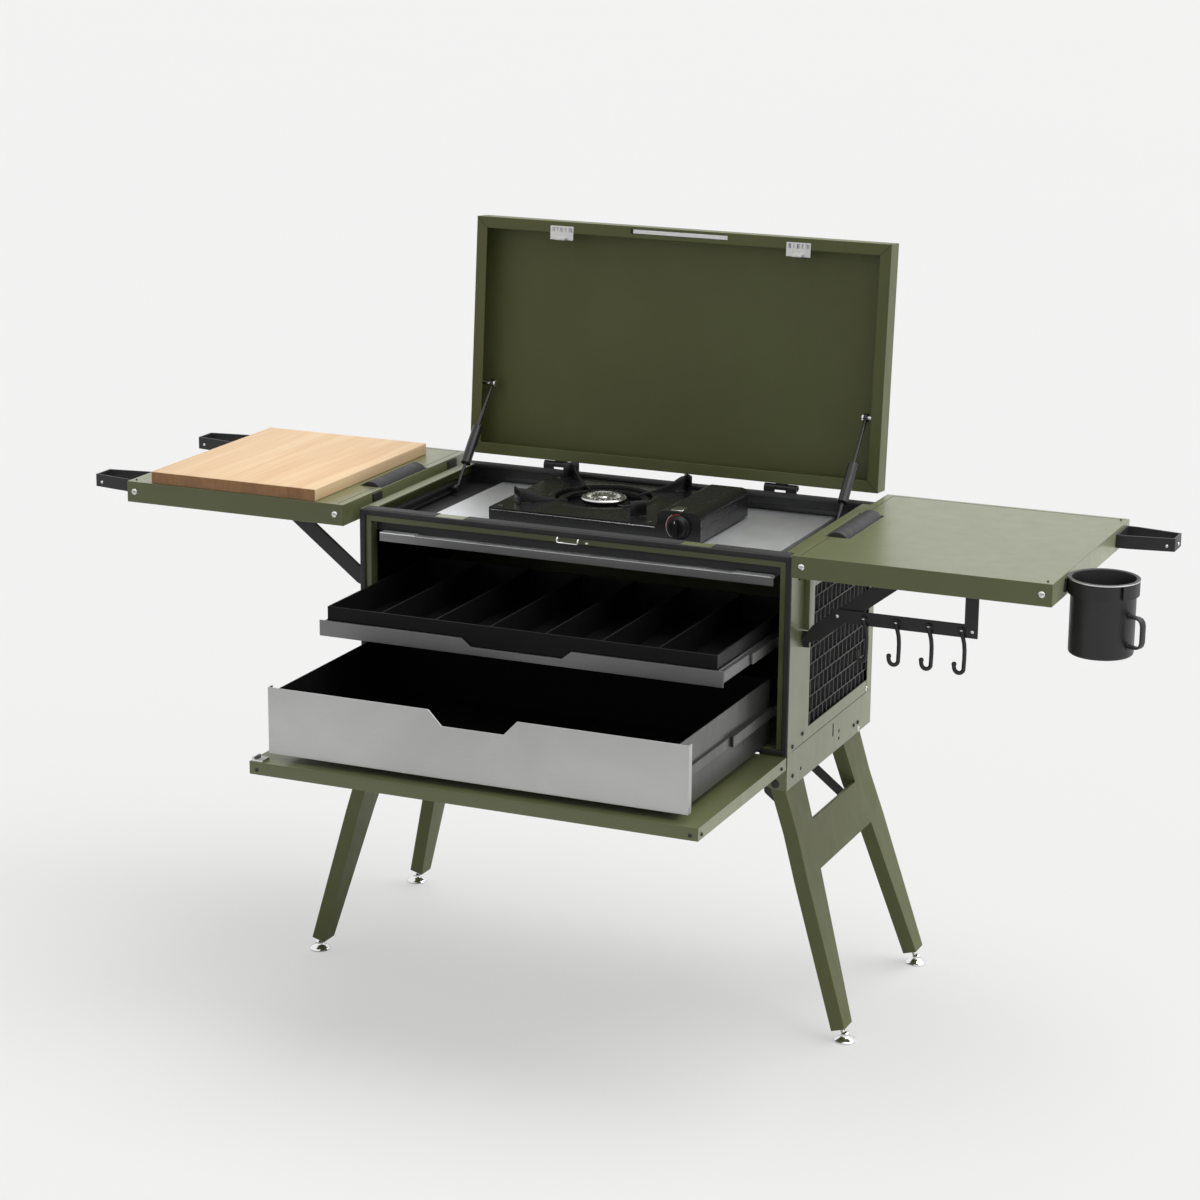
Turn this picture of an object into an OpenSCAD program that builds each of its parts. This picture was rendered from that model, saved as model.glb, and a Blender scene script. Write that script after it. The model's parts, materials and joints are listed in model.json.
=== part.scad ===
// Folding camp kitchen box: a steel cabinet on two folding leg frames, with a
// lift-up lid, a drop-down front door, two drawers and two fold-down side wings.
// x runs to the right, y to the rear and z up. The floor is z = 0.
// Everything is drawn with the cabinet's front face at y = 0 and its middle at
// x = 0, and place() then centres the whole object over the origin.

/* [Cabinet] */
// Width of the cabinet
box_w = 700; // [620:5:800]
// Depth of the cabinet
box_d = 380; // [350:5:450]
// Height of the cabinet's rim above the floor
rim_z = 740; // [720:5:800]
// Height of the cabinet's own walls
box_h = 300; // [295:5:330]
// Thickness of the sheet steel
sheet = 2; // [1.5:0.1:2.4]
// Width of the folded flange round the rim and the front
flange = 18; // [14:1:22]
// Depth of the front frame's fold
frame_d = 20; // [16:1:24]
// Thickness of the rubber seal on the front frame
seal_t = 4; // [2:0.5:6]
// Width of that seal
seal_w = 9; // [7:1:12]
// Height of the apron under the cabinet
apron_h = 55; // [52:1:64]

/* [Top] */
// Depth of the cook plate's face below the rim
plate_drop = 28; // [24:1:34]
// Width of the cook plate
plate_w = 570; // [520:5:600]
// Width of the steel lip in front of the plate
lip_w = 640; // [560:5:650]
// Height of that lip
lip_h = 15; // [12:1:18]

/* [Lid] */
// Depth of the lid's skirt
lid_h = 36; // [32:1:42]
// Angle of the open lid from closed
lid_open = 94.5; // [90:0.5:100]
// Height of the lid hinge's axis above the rim
lid_axis_up = 7; // [6:0.5:9]
// Width of each lid hinge
lid_hinge_w = 55; // [40:1:70]
// Distance of each lid hinge from the middle
lid_hinge_x = 190; // [150:5:240]
// Distance of the stay's stud from the lid hinge
stud_run = 120; // [100:5:130]
// Length of a lid stay from eye to eye
stay_l = 200; // [190:1:205]
// Angle of an open lid stay below level
stay_tilt = 48; // [44:0.5:50]

/* [Door] */
// Height of the door panel
door_l = 348; // [340:1:380]
// Thickness of the door panel
door_t = 19; // [15:1:24]

/* [Drawers] */
// Width of the drawer fronts
front_w = 655; // [560:5:660]
// Width of the drawer boxes
drawer_w = 624; // [540:2:624]
// Height of the deep drawer
deep_h = 100; // [80:5:115]
// Depth of the deep drawer
deep_l = 355; // [300:5:358]
// Gap under the deep drawer
deep_up = 8; // [8:1:16]
// Pull of the deep drawer, from closed
deep_pull = 337; // [280:1:337]
// Height of the shallow drawer's front
tray_h = 24; // [20:1:30]
// Depth of the shallow drawer
tray_l = 340; // [300:5:350]
// Height of the shallow drawer's bottom above the cabinet's bottom
tray_up = 150; // [140:2:160]
// Pull of the shallow drawer, from closed
tray_pull = 194; // [120:1:260]
// Height of the cutlery insert
insert_h = 43; // [35:1:50]
// Number of compartments in the cutlery insert
bins = 7; // [3:1:9]

/* [Wings] */
// Length of a wing, outwards
wing_l = 382; // [320:2:420]
// Depth of a wing, front to rear
wing_d = 430; // [380:5:440]
// How far a wing reaches in front of the cabinet
wing_front = 35; // [20:1:50]
// Height of a wing's fascia
wing_t = 33; // [28:1:38]
// Height of a wing's face above the rim
wing_up = 11; // [8:1:14]
// Gap between the cabinet and a wing, for the hinge
wing_gap = 11; // [11:0.5:14]
// Reach of the hanging loops beyond the wing
loop_l = 86; // [60:1:100]
// Length of a folding brace
brace_l = 200; // [190:1:210]
// Height of the brace's pivot below the wing's hinge axis
brace_drop = 118; // [110:1:125]

/* [Mug and board] */
// Height of the mug
mug_h = 110; // [90:1:120]
// Radius of the mug's body
mug_r = 46; // [38:0.5:48]
// Width of the chopping board
board_w = 290; // [240:5:320]
// Depth of the chopping board
board_d = 375; // [300:5:385]
// Thickness of the chopping board
board_t = 19; // [14:1:24]

/* [Stove] */
// Width of the stove
stove_w = 350; // [320:5:370]
// Depth of the stove
stove_d = 245; // [220:5:250]
// Height of the stove's tray
stove_h = 24; // [20:1:26]
// Height of the gas canister's cover
fuel_h = 47; // [40:1:50]
// Width of the gas canister's cover
fuel_w = 70; // [60:1:80]
// Height of the pan supports
pan_z = 49; // [44:1:52]

/* [Legs] */
// Splay of the leg frames from upright
splay = 16; // [10:0.5:18]
// Thickness of a leg
leg_t = 22; // [18:1:24]
// Radius of a levelling foot
foot_r = 14; // [10:0.5:14]
// Height of the gusset's top edge
gusset_z = 317; // [300:1:325]
// Height of the gusset
gusset_h = 70; // [50:1:90]

/* [Hidden] */

$fn = 48;
seam = 0.3;         // running gap between pieces that move
fit = 0.05;         // radial clearance of a pin in its bore
olive = [0.33, 0.36, 0.19];
black = [0.07, 0.07, 0.07];
steel = [0.66, 0.66, 0.66];

half_w = box_w / 2;
floor_z = rim_z - box_h;
apron_z = floor_z - apron_h;
inner_w = half_w - sheet;
open_w = half_w - flange;
sill = deep_up - 1;

// Lid: drawn closed, then turned open about its hinge
knuckle_r = 5;
pin_r = 2.5;
hinge_y = box_d + knuckle_r + 1;
hinge_z = rim_z + lid_axis_up;
lid_z = rim_z + 1;
lid_y0 = -4;
lid_y1 = box_d - seam;
stud_up = 9;
stay_x = open_w - 12;
lid_tilt = lid_open - 90;

// Whole reach of the object, used only to centre it
lid_reach = hinge_y + (hinge_y - lid_y0) * sin(lid_tilt)
    + (lid_z + lid_h - hinge_z) * cos(lid_tilt);
door_axis_y = -seal_t;
door_z = floor_z - 2;
front_reach = door_axis_y - door_l + 2;
wing_x0 = half_w + wing_gap;
wing_x1 = wing_x0 + wing_l;
wing_z1 = rim_z + wing_up;
wing_z0 = wing_z1 - wing_t;
mug_rim_r = mug_r + 4.6;
ring_t = 3;
mug_x = wing_x1 + mug_r + ring_t + 2.2;
mug_y = wing_front + 13;
mug_turn = -55;     // direction that the mug's handle points in
right_reach = max(mug_x + mug_rim_r, wing_x1 + loop_l);
left_reach = wing_x1 + loop_l;
shift = [(left_reach - right_reach) / 2, -(lid_reach + front_reach) / 2, 0];

// Wing hinges and braces
wing_axis_x = half_w + wing_gap / 2;
wing_axis_z = wing_z0 + 4;
wing_knuckle_r = wing_gap / 2 - seam;
wing_pin_r = 2.8;
brace_y = 45;
brace_bar = 6;
brace_w = 24;
brace_px = wing_axis_x;
brace_pz = wing_axis_z - brace_drop;
brace_angle = asin((brace_drop + 4) / brace_l);
brace_end_r = wing_gap / 2 - 0.4;
brace_pin_r = 3.5;

// Drawers
deep_z = floor_z + deep_up;
deep_y0 = 5 - deep_pull;
tray_z = floor_z + tray_up;
tray_y0 = 5 - tray_pull;
slide_h = 16;
slide_t = 4;
tray_front_w = drawer_w + 4 * slide_t;
deep_notch = [138, 96, 22];
tray_notch = [174, 144, 12];
slide_l = 330;
slide_y0 = frame_d + 4;
deep_slide_z = deep_z + deep_h / 2;
tray_slide_z = tray_z + tray_h / 2;

// Legs: the left frame hinges higher than the right, so that both fold flat
left_axis = [-(half_w - 27), floor_z - 16];
right_axis = [half_w - 18, floor_z - 46];
rod_r = 5;
leg_front_top = 43;
leg_front_foot = 22;
leg_rear_top = box_d - 82;
leg_rear_foot = box_d - 14;
leg_top_w = 80;
leg_mid_w = 58;
leg_foot_w = 34;
leg_end_z = 22;
link_t = 6;
link_w = 13;
link_run = 100;
link_y = [leg_front_top + leg_top_w / 2 + 2, leg_rear_top - leg_top_w / 2 - 2];
link_pin_r = 4;
arm_pin_r = 3.5;
left_mid = [-(half_w - 65), floor_z - 68];
right_mid = [half_w - 60, floor_z - 88];
left_arm_root = [-(half_w - 155), floor_z - 9];
right_arm_root = [half_w - 145, floor_z - 9];

// Stove
plate_z = rim_z - plate_drop;
stove_x = -186;
stove_y = 110;
burner_x = stove_x + 132;
burner_y = stove_y + 139;
fuel_x = stove_x + stove_w - fuel_w;
fuel_d = 198;
knob_r = 18;
knob_x = fuel_x + fuel_w / 2;

module place() translate(shift) children();

module box(lo, hi) translate(lo) cube(hi - lo);

// A piece and its mirror image across the cabinet's middle
module both_sides() {
    children();
    mirror([1, 0, 0]) children();
}

// Bar along y with a round section
module rod_y(r, y0, y1) translate([0, y0, 0]) rotate([-90, 0, 0]) cylinder(r = r, h = y1 - y0);

module rod_x(r, x0, x1) translate([x0, 0, 0]) rotate([0, 90, 0]) cylinder(r = r, h = x1 - x0);

// Tube along x, for a hinge knuckle
module knuckle_x(r, bore, x0, x1) difference() {
    rod_x(r, x0, x1);
    rod_x(bore, x0 - 1, x1 + 1);
}

// Flat link in the x-z plane between two pivots, with round ends
module link(a, b, w, y0, t) {
    d = b - a;
    translate([a[0], y0 + t, a[1]]) rotate([90, 0, 0]) rotate(atan2(d[1], d[0]))
        linear_extrude(t) union() {
            circle(d = w);
            translate([norm(d), 0]) circle(d = w);
            translate([0, -w / 2]) square([norm(d), w]);
        }
}

// Open box: a floor and four walls
module pan(x0, x1, y0, y1, z0, z1, t) difference() {
    box([x0, y0, z0], [x1, y1, z1]);
    box([x0 + t, y0 + t, z0 + t], [x1 - t, y1 - t, z1 + 1]);
}

// Tray turned upside down: a face on top and a skirt
module cover(x0, x1, y0, y1, z0, z1, t) difference() {
    box([x0, y0, z0], [x1, y1, z1]);
    box([x0 + t, y0 + t, z0 - 1], [x1 - t, y1 - t, z1 - t]);
}

/* Cabinet */

module cabinet_floor() color(olive)
    box([-inner_w, frame_d, floor_z], [inner_w, box_d - sheet, floor_z + sheet]);

module cabinet_back() color(olive) {
    box([-half_w, box_d - sheet, floor_z], [half_w, box_d, rim_z]);
    box([-inner_w, box_d - flange, rim_z - sheet], [inner_w, box_d - sheet, rim_z]);
}

window_front = 88;
window_rear_edge = 22;
window_up = 20;
window_top_edge = 68;
window = [window_front, box_d - window_rear_edge, window_up, box_h - window_top_edge];
window_cut = 42;

module window_outline() polygon([[window[0], window[2]], [window[1], window[2]],
    [window[1], window[3] - window_cut], [window[1] - window_cut, window[3]],
    [window[0] + window_cut, window[3]], [window[0], window[3] - window_cut]]);

module side_panel() color(olive) difference() {
    union() {
        box([inner_w, 0, floor_z], [half_w, box_d - sheet, rim_z]);
        box([open_w, frame_d, rim_z - sheet], [half_w, box_d - flange, rim_z]);
    }
    translate([inner_w - 1, 0, floor_z]) rotate([90, 0, 90]) linear_extrude(sheet + 2)
        window_outline();
}

module right_side_panel() side_panel();

module left_side_panel() mirror([1, 0, 0]) side_panel();

mesh_wire = 2;
mesh_pitch = 19;

module mesh() color(black) translate([inner_w - 2 * mesh_wire, 0, 0]) {
    lo = [window[0] - 8, floor_z + window[2] - 8];
    hi = [window[1] + 8, floor_z + window[3] + 8];
    rows = floor((hi[1] - lo[1] - mesh_wire) / (2 * mesh_pitch));
    cols = floor((hi[0] - lo[0] - mesh_wire) / mesh_pitch);
    for (i = [0:cols]) translate([mesh_wire, lo[0] + i * (hi[0] - lo[0] - mesh_wire) / cols, lo[1]])
        cube([mesh_wire, mesh_wire, hi[1] - lo[1]]);
    for (i = [0:rows]) translate([0, lo[0], lo[1] + i * (hi[1] - lo[1] - mesh_wire) / rows])
        cube([mesh_wire, hi[0] - lo[0], mesh_wire]);
}

module side_meshes() both_sides() mesh();

module front_frame() color(olive) difference() {
    box([-inner_w, 0, floor_z], [inner_w, frame_d, rim_z]);
    box([-open_w, -1, floor_z + sill], [open_w, frame_d + 1, rim_z - flange]);
    box([-open_w + sheet, sheet, rim_z - flange - 1], [open_w - sheet, frame_d + 1, rim_z - sheet]);
}

module front_seal() color(black) difference() {
    box([-half_w, -seal_t, floor_z], [half_w, 0, rim_z]);
    box([seal_w - half_w, -seal_t - 1, floor_z + sill], [half_w - seal_w, 1, rim_z - seal_w]);
}

catch_w = 36;
catch_r = 2;
catch_out = 10;

// Staple that the door's latch grips, on the middle of the top rail
module front_catch() color(steel) translate([0, 0, rim_z - flange + catch_r + 2]) {
    for (s = [-1, 1]) translate([s * catch_w / 2, -catch_out, 0]) rod_y(catch_r, 0, catch_out);
    translate([0, -catch_out, 0]) rod_x(catch_r, -catch_w / 2, catch_w / 2);
}

apron_cap = 44;
apron_hole_r = 3;
apron_holes = [[60, 18], [230, 16], [230, 28]];

// Apron plate under the side wall with its turned-in ends, bored for a leg frame's rod
module apron(axis_x, axis_z) color(olive) difference() {
    union() {
        box([inner_w, 0, apron_z], [half_w, box_d, floor_z]);
        for (y = [0, box_d - sheet]) translate([0, y + sheet, 0]) rotate([90, 0, 0])
            linear_extrude(sheet) polygon([[half_w, apron_z], [half_w, floor_z],
                [half_w - apron_cap, floor_z], [half_w - apron_cap, floor_z - 24],
                [half_w - apron_cap + 10, apron_z + 4], [half_w - 18, apron_z]]);
    }
    for (p = apron_holes) translate([inner_w - 1, p[0], apron_z + p[1]]) rod_x(apron_hole_r, 0, sheet + 2);
    translate([axis_x, 0, axis_z]) rod_y(rod_r + fit, -1, box_d + 1);
}

module side_aprons() {
    apron(right_axis[0], right_axis[1]);
    mirror([1, 0, 0]) apron(-left_axis[0], left_axis[1]);
}

// Fixed members of the four drawer slides, held off the walls by spacers
module runner(z) {
    x0 = drawer_w / 2 + 2 * slide_t + 2 * seam;
    box([x0, slide_y0, z - slide_h / 2], [x0 + slide_t, slide_y0 + slide_l, z + slide_h / 2]);
    for (y = [slide_y0 + 20, slide_y0 + slide_l - 50])
        box([x0 + slide_t, y, z - slide_h / 2], [inner_w - 2 * mesh_wire, y + 30, z + slide_h / 2]);
    box([x0 + slide_t, slide_y0, z - slide_h / 2], [inner_w, slide_y0 + 12, z + slide_h / 2]);
}

module runner_rails() color(steel) both_sides() {
    runner(deep_slide_z);
    runner(tray_slide_z);
}

/* Top well */

tray_wall = 16;

// Black pan that closes the cabinet under the cook plate
module top_tray() color(black) {
    z = plate_z - 8;
    pan(-inner_w, inner_w, frame_d, box_d - sheet, z, z + tray_wall, sheet);
}

module cook_plate() color(steel) {
    z = plate_z - 6;
    cover(-plate_w / 2, plate_w / 2, frame_d + sheet + 1, box_d - 8, z, plate_z, sheet);
    box([-lip_w / 2, 4, z - lip_h], [lip_w / 2, 6, z - sheet]);
    box([-lip_w / 2, 6, z - 2 * sheet], [lip_w / 2, 40, z - sheet]);
    for (s = [-1, 1]) box([s * (lip_w / 2 - 32) - 30, 1, z - sheet], [s * (lip_w / 2 - 32) + 30, 16, z]);
}

/* Hinges */

lid_knuckle_w = lid_hinge_w / 3;
wing_hinge_w = 60;
wing_hinge_y = [30, 290];
door_hinge_x = 230;
door_hinge_w = 60;
door_pin_r = 2.5;
door_knuckle_r = 4;
door_axis_z = door_z - door_knuckle_r;

// Fixed leaves, knuckles and pins of the lid, wing and door hinges
module hinge_leaves() color(black) {
    for (s = [-1, 1]) {
        x0 = s * lid_hinge_x - lid_hinge_w / 2;
        translate([x0, hinge_y, hinge_z]) rod_x(pin_r, -1, lid_hinge_w + 1);
        for (x = [x0, x0 + 2 * lid_knuckle_w]) {
            translate([x, hinge_y, hinge_z]) rod_x(knuckle_r, 0, lid_knuckle_w - seam);
            box([x, box_d, rim_z - 26], [x + lid_knuckle_w - seam, box_d + sheet, hinge_z]);
        }
    }
    both_sides() for (y = wing_hinge_y) {
        translate([wing_axis_x, y, wing_axis_z]) {
            rod_y(wing_knuckle_r, 0, wing_hinge_w / 2 - seam);
            rod_y(wing_pin_r, 0, wing_hinge_w + 1);
        }
        box([half_w, y, wing_axis_z - 24], [half_w + sheet, y + wing_hinge_w / 2 - seam, wing_axis_z]);
    }
    both_sides() {
        translate([brace_px, brace_y, brace_pz]) rod_y(brace_pin_r, 0, brace_bar + 8);
        box([half_w, brace_y + brace_bar + seam, brace_pz - 12],
            [brace_px + 5, brace_y + brace_bar + seam + 4, brace_pz + 12]);
    }
    for (x = [-door_hinge_x, door_hinge_x]) {
        translate([x, door_axis_y, door_axis_z]) {
            rod_x(door_pin_r, -door_hinge_w / 2, 1);
            rod_x(door_knuckle_r, 0, door_hinge_w / 2);
        }
        box([x, door_axis_y + sheet, door_axis_z - sheet], [x + door_hinge_w / 2, 3.5, floor_z]);
    }
}

stud_y = hinge_y + stud_run * sin(lid_tilt) + stud_up * cos(lid_tilt);
stud_z = hinge_z + stud_run * cos(lid_tilt) - stud_up * sin(lid_tilt);
track_z = stud_z - stay_l * sin(stay_tilt);
track_gap = 9;
track_y0 = 50;
track_y1 = stud_y - stay_l * cos(stay_tilt) + 20;

module track_outline() polygon([[0, 0], [10, 0], [10, 14], [0, 14], [0, 11], [6, 11], [6, 3], [0, 3]]);

// Channels beside the well that the lower ends of the lid stays run in
module stay_tracks() color(black) both_sides() {
    x0 = stay_x + track_gap;
    z = track_z - 7;
    translate([x0, track_y1, z]) rotate([90, 0, 0]) linear_extrude(track_y1 - track_y0) track_outline();
    for (y = [track_y0, track_y1 - 12]) box([x0 + 10, y, z + 2], [inner_w - sheet, y + 12, z + 12]);
}

// Place of a leg's folding stay along y, from its leg towards the middle
module at_link(i) translate([0, link_y[i], 0]) mirror([0, i, 0]) children();

// Rods that the leg frames turn on, and the lugs of their folding arms
module leg_rods() color(black) {
    for (a = [left_axis, right_axis]) translate([a[0], 0, a[1]]) rod_y(rod_r, 0, box_d);
    for (a = [left_arm_root, right_arm_root]) for (i = [0, 1]) at_link(i) translate([a[0], 0, a[1]]) {
        rod_y(arm_pin_r, link_t + seam, 2 * link_t + 8);
        box([-6, 2 * link_t + 2, -6], [6, 2 * link_t + 6, floor_z - a[1]]);
    }
}

/* Lid */

module at_lid() translate([0, hinge_y, hinge_z]) rotate([-lid_open, 0, 0])
    translate([0, -hinge_y, -hinge_z]) children();

lid_pull_w = 165;

module lid_shell() color(olive) at_lid() difference() {
    box([-half_w, lid_y0, lid_z], [half_w, lid_y1, lid_z + lid_h]);
    box([-inner_w, lid_y0 + sheet, lid_z + sheet], [inner_w, lid_y1 - sheet, lid_z + lid_h - sheet]);
    box([-open_w, lid_y0 + flange, lid_z - 1], [open_w, lid_y1 - flange, lid_z + sheet + 1]);
    box([-lid_pull_w / 2, lid_y0 + 4, lid_z - 1], [lid_pull_w / 2, lid_y0 + 12, lid_z + sheet + 1]);
}

latch_x = 200;
latch_y = frame_d + 1;
stud_r = 3.5;

// Latches on the lid's front flange, and the studs of the lid stays
module lid_fittings() color(steel) at_lid() {
    for (s = [-1, 1]) {
        box([s * latch_x - 20, lid_y0 + 7, lid_z - 0.7], [s * latch_x + 20, latch_y + 4, lid_z]);
        box([s * latch_x - 8, latch_y, lid_z - 8], [s * latch_x + 8, latch_y + 4, lid_z + 6]);
        translate([s * stay_x, hinge_y - stud_run, hinge_z + stud_up]) {
            rod_x(stud_r, s > 0 ? -3.2 : stay_x - inner_w, s > 0 ? inner_w - stay_x : 3.2);
            rod_x(6, s > 0 ? -6 : 3.2, s > 0 ? -3.2 : 6);
        }
    }
}

module lid_hinge_flaps() color(black) at_lid() for (s = [-1, 1]) {
    x0 = s * lid_hinge_x - lid_knuckle_w / 2;
    x1 = x0 + lid_knuckle_w - seam;
    translate([0, hinge_y, hinge_z]) knuckle_x(knuckle_r, pin_r + fit, x0, x1);
    box([x0, lid_y1, hinge_z - 2], [x1, box_d + sheet, lid_z + lid_h - 4]);
}

// Lid stay: a rod with an eye at each end and a thick sleeve along its middle
module lid_stay(x) translate([x, stud_y, stud_z]) rotate([stay_tilt, 0, 0]) {
    color(steel) difference() {
        union() {
            rod_x(7, -2.7, 2.7);
            translate([0, -stay_l, 0]) rod_x(7, -2.7, 2.7);
            rod_y(2.5, -stay_l + 3, -3);
        }
        rod_x(stud_r + fit, -4, 4);
    }
    color(black) difference() {
        rod_y(8, -0.76 * stay_l, -0.42 * stay_l);
        rod_y(2.5, -0.77 * stay_l, -0.41 * stay_l);
    }
    color(steel) translate([0, -stay_l, 0])
        rod_x(3, x > 0 ? 0 : seam - track_gap, x > 0 ? track_gap - seam : 0);
}

module left_lid_stay() lid_stay(-stay_x);

module right_lid_stay() lid_stay(stay_x);

/* Wings */

grip_l = 160;
grip_w = 42;
grip_y = 95;
grip_sink = 12;

// Wing: a face with a deep fascia, open below, with a notch for the grip
module wing() color(olive) difference() {
    union() {
        cover(wing_x0, wing_x1, -wing_front, wing_d - wing_front, wing_z0, wing_z1, sheet);
        for (x = [wing_x0 + 90, wing_x1 - 90]) box([x, sheet - wing_front, wing_z1 - 12],
            [x + sheet, wing_d - wing_front - sheet, wing_z1 - sheet]);
        box([wing_x0 + sheet, grip_y - sheet, wing_z1 - grip_sink - sheet],
            [wing_x0 + grip_w + sheet, grip_y + grip_l + sheet, wing_z1 - sheet]);
    }
    box([wing_x0 + sheet, grip_y, wing_z1 - grip_sink], [wing_x0 + grip_w, grip_y + grip_l, wing_z1 + 1]);
}

module right_wing() wing();

module left_wing() mirror([1, 0, 0]) wing();

module wing_hinge() color(black) for (y = wing_hinge_y) {
    y0 = y + wing_hinge_w / 2;
    difference() {
        union() {
            translate([wing_axis_x, y0, wing_axis_z]) rod_y(wing_knuckle_r, 0, wing_hinge_w / 2);
            box([wing_x0 - sheet, y0, wing_axis_z], [wing_x0, y0 + wing_hinge_w / 2, wing_z1 - 3]);
        }
        translate([wing_axis_x, y0, wing_axis_z]) rod_y(wing_pin_r + fit, -1, wing_hinge_w);
    }
}

module right_wing_hinge() wing_hinge();

module left_wing_hinge() mirror([1, 0, 0]) wing_hinge();

grip_r = (grip_w - sheet - 1) / 2;

// Half-round rubber grip lying in the notch of the wing's face
module grip() color(black) intersection() {
    translate([wing_x0 + sheet + 0.5 + grip_r, 0, wing_z1 - grip_sink])
        rod_y(grip_r, grip_y + 1, grip_y + grip_l - 1);
    box([wing_x0, grip_y, wing_z1 - grip_sink], [wing_x0 + grip_w, grip_y + grip_l, wing_z1 + 30]);
}

module right_grip() grip();

module left_grip() mirror([1, 0, 0]) grip();

loop_bar = 3;
loop_h = 20;
loop_base = 64;
loop_tip = 40;
loop_z = wing_z1 - 6 - loop_h;

function loop_points(b, t, l) =
    [[0, -b / 2], [l * 0.2, -b / 2], [l, -t / 2], [l, t / 2], [l * 0.2, b / 2], [0, b / 2]];

// Tapered hanging loop of flat bar at the wing's outer edge
module hang_loop(y) color(black) translate([wing_x1, y, loop_z]) linear_extrude(loop_h) difference() {
    polygon(loop_points(loop_base, loop_tip, loop_l));
    polygon([for (p = loop_points(loop_base - 2 * loop_bar, loop_tip - 2 * loop_bar, loop_l - loop_bar))
        [p[0] + (p[0] == 0 ? loop_bar : 0), p[1]]]);
}

loop_y = [30, 345];

module left_loops() mirror([1, 0, 0]) for (y = loop_y) hang_loop(y);

ring_z = wing_z1 - 6 - loop_h;

module right_loops() {
    hang_loop(loop_y[1]);
    color(black) difference() {
        union() {
            translate([mug_x, mug_y, ring_z]) cylinder(r = mug_r + ring_t + 1, h = loop_h);
            box([wing_x1, mug_y - 20, ring_z], [wing_x1 + 3, mug_y + 20, ring_z + loop_h]);
        }
        translate([mug_x, mug_y, ring_z - 1]) cylinder(r = mug_r + 1, h = loop_h + 2);
        translate([mug_x, mug_y, ring_z - 1]) rotate(mug_turn) translate([0, -10, 0])
            cube([mug_r + 10, 20, loop_h + 2]);
    }
}

// Folding brace, narrow at its pivot so that it turns clear of the cabinet's side
module brace() color(black) difference() {
    translate([brace_px, brace_y + brace_bar, brace_pz]) rotate([90, 0, 0]) rotate(brace_angle)
        linear_extrude(brace_bar) difference() {
            union() {
                circle(r = brace_end_r);
                polygon([[0, -brace_end_r], [brace_w, -brace_w / 2], [brace_l, -brace_w / 2],
                    [brace_l, brace_w / 2], [brace_w, brace_w / 2], [0, brace_end_r]]);
                translate([brace_l, 0]) circle(d = brace_w);
            }
            circle(r = brace_pin_r + fit);
        }
    box([half_w, 0, wing_z1 - 12 - seam], [wing_x1, box_d, rim_z + 100]);
}

module right_brace() brace();

module left_brace() mirror([1, 0, 0]) brace();

rail_in = 38;
rail_l = 218;
rail_drop = 80;
rail_tab = 40;
rail_x0 = wing_x0 + rail_in;
rail_x1 = rail_x0 + rail_l;
rail_z = wing_z0 - rail_drop;
rail_h = 20;
rail_t = 3;
rail_y = brace_y - seam - rail_t;

// Rail for utensils, hung from the underside of the right wing
module utensil_rail() color(black) {
    box([rail_x0, rail_y, rail_z], [rail_x1, rail_y + rail_t, rail_z + rail_h]);
    box([rail_x1 - rail_h, rail_y, rail_z + rail_h], [rail_x1, rail_y + rail_t, wing_z1 - sheet]);
    box([rail_x1 - rail_h, rail_y + rail_t, wing_z1 - sheet - 3],
        [rail_x1, rail_y + rail_tab, wing_z1 - sheet]);
}

hooks = 4;
hook_in = 48;
hook_pitch = 49;
hook_r = 2.5;
hook_drop = 50;
hook_bend = 10;

module utensil_hooks() color(black) for (i = [0:hooks - 1])
    translate([rail_x0 + hook_in + i * hook_pitch, rail_y - hook_r - 0.05, rail_z + rail_h / 2]) {
        translate([0, 0, -hook_drop]) cylinder(r = hook_r, h = hook_drop);
        translate([-hook_bend, 0, -hook_drop]) rotate([90, 0, 0]) rotate([0, 0, 180])
            rotate_extrude(angle = 180) translate([hook_bend, 0]) circle(r = hook_r);
        translate([-2 * hook_bend, 0, -hook_drop]) cylinder(r = hook_r, h = 8);
        rotate([90, 0, 0]) cylinder(r = 5, h = 4);
    }

/* Mug and board */

mug_wall = 1.6;
mug_seat = ring_z + loop_h + seam;

module mug() color(black) translate([mug_x, mug_y, mug_seat]) {
    rotate_extrude($fn = 72) polygon([[0, 3 - mug_h], [mug_r - 2, 3 - mug_h], [mug_r, 6 - mug_h],
        [mug_r, 0], [mug_rim_r, 0], [mug_rim_r, 3], [mug_r - mug_wall, 3], [mug_r - mug_wall, 6 - mug_h],
        [mug_r - 3, 3 - mug_h + mug_wall], [0, 3 - mug_h + mug_wall]]);
    rotate([0, 0, mug_turn]) translate([mug_r - 1, 0, -56]) rotate([90, 0, 0]) translate([0, 0, -5])
        linear_extrude(10) difference() {
            translate([0, -25]) square([28, 50]);
            translate([-2, -21]) square([26, 42]);
        }
}

board_x = wing_x0 + 49;
board_y = 2 - wing_front;

module chopping_board() color([0.83, 0.65, 0.45]) mirror([1, 0, 0])
    box([board_x, board_y, wing_z1 + 0.1], [board_x + board_w, board_y + board_d, wing_z1 + board_t]);

/* Door */

liner_t = 2;
door_y0 = door_axis_y - door_l + 2;

module door_tray() color(olive) difference() {
    pan(-half_w, half_w, door_y0, door_axis_y - seam, door_z - door_t, door_z - liner_t, sheet);
    for (s = [-1, 1]) translate([s * door_hinge_x, door_axis_y, door_z - 4])
        rod_x(5, -door_hinge_w / 2 - 1, door_hinge_w / 2 + 1);
}

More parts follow.
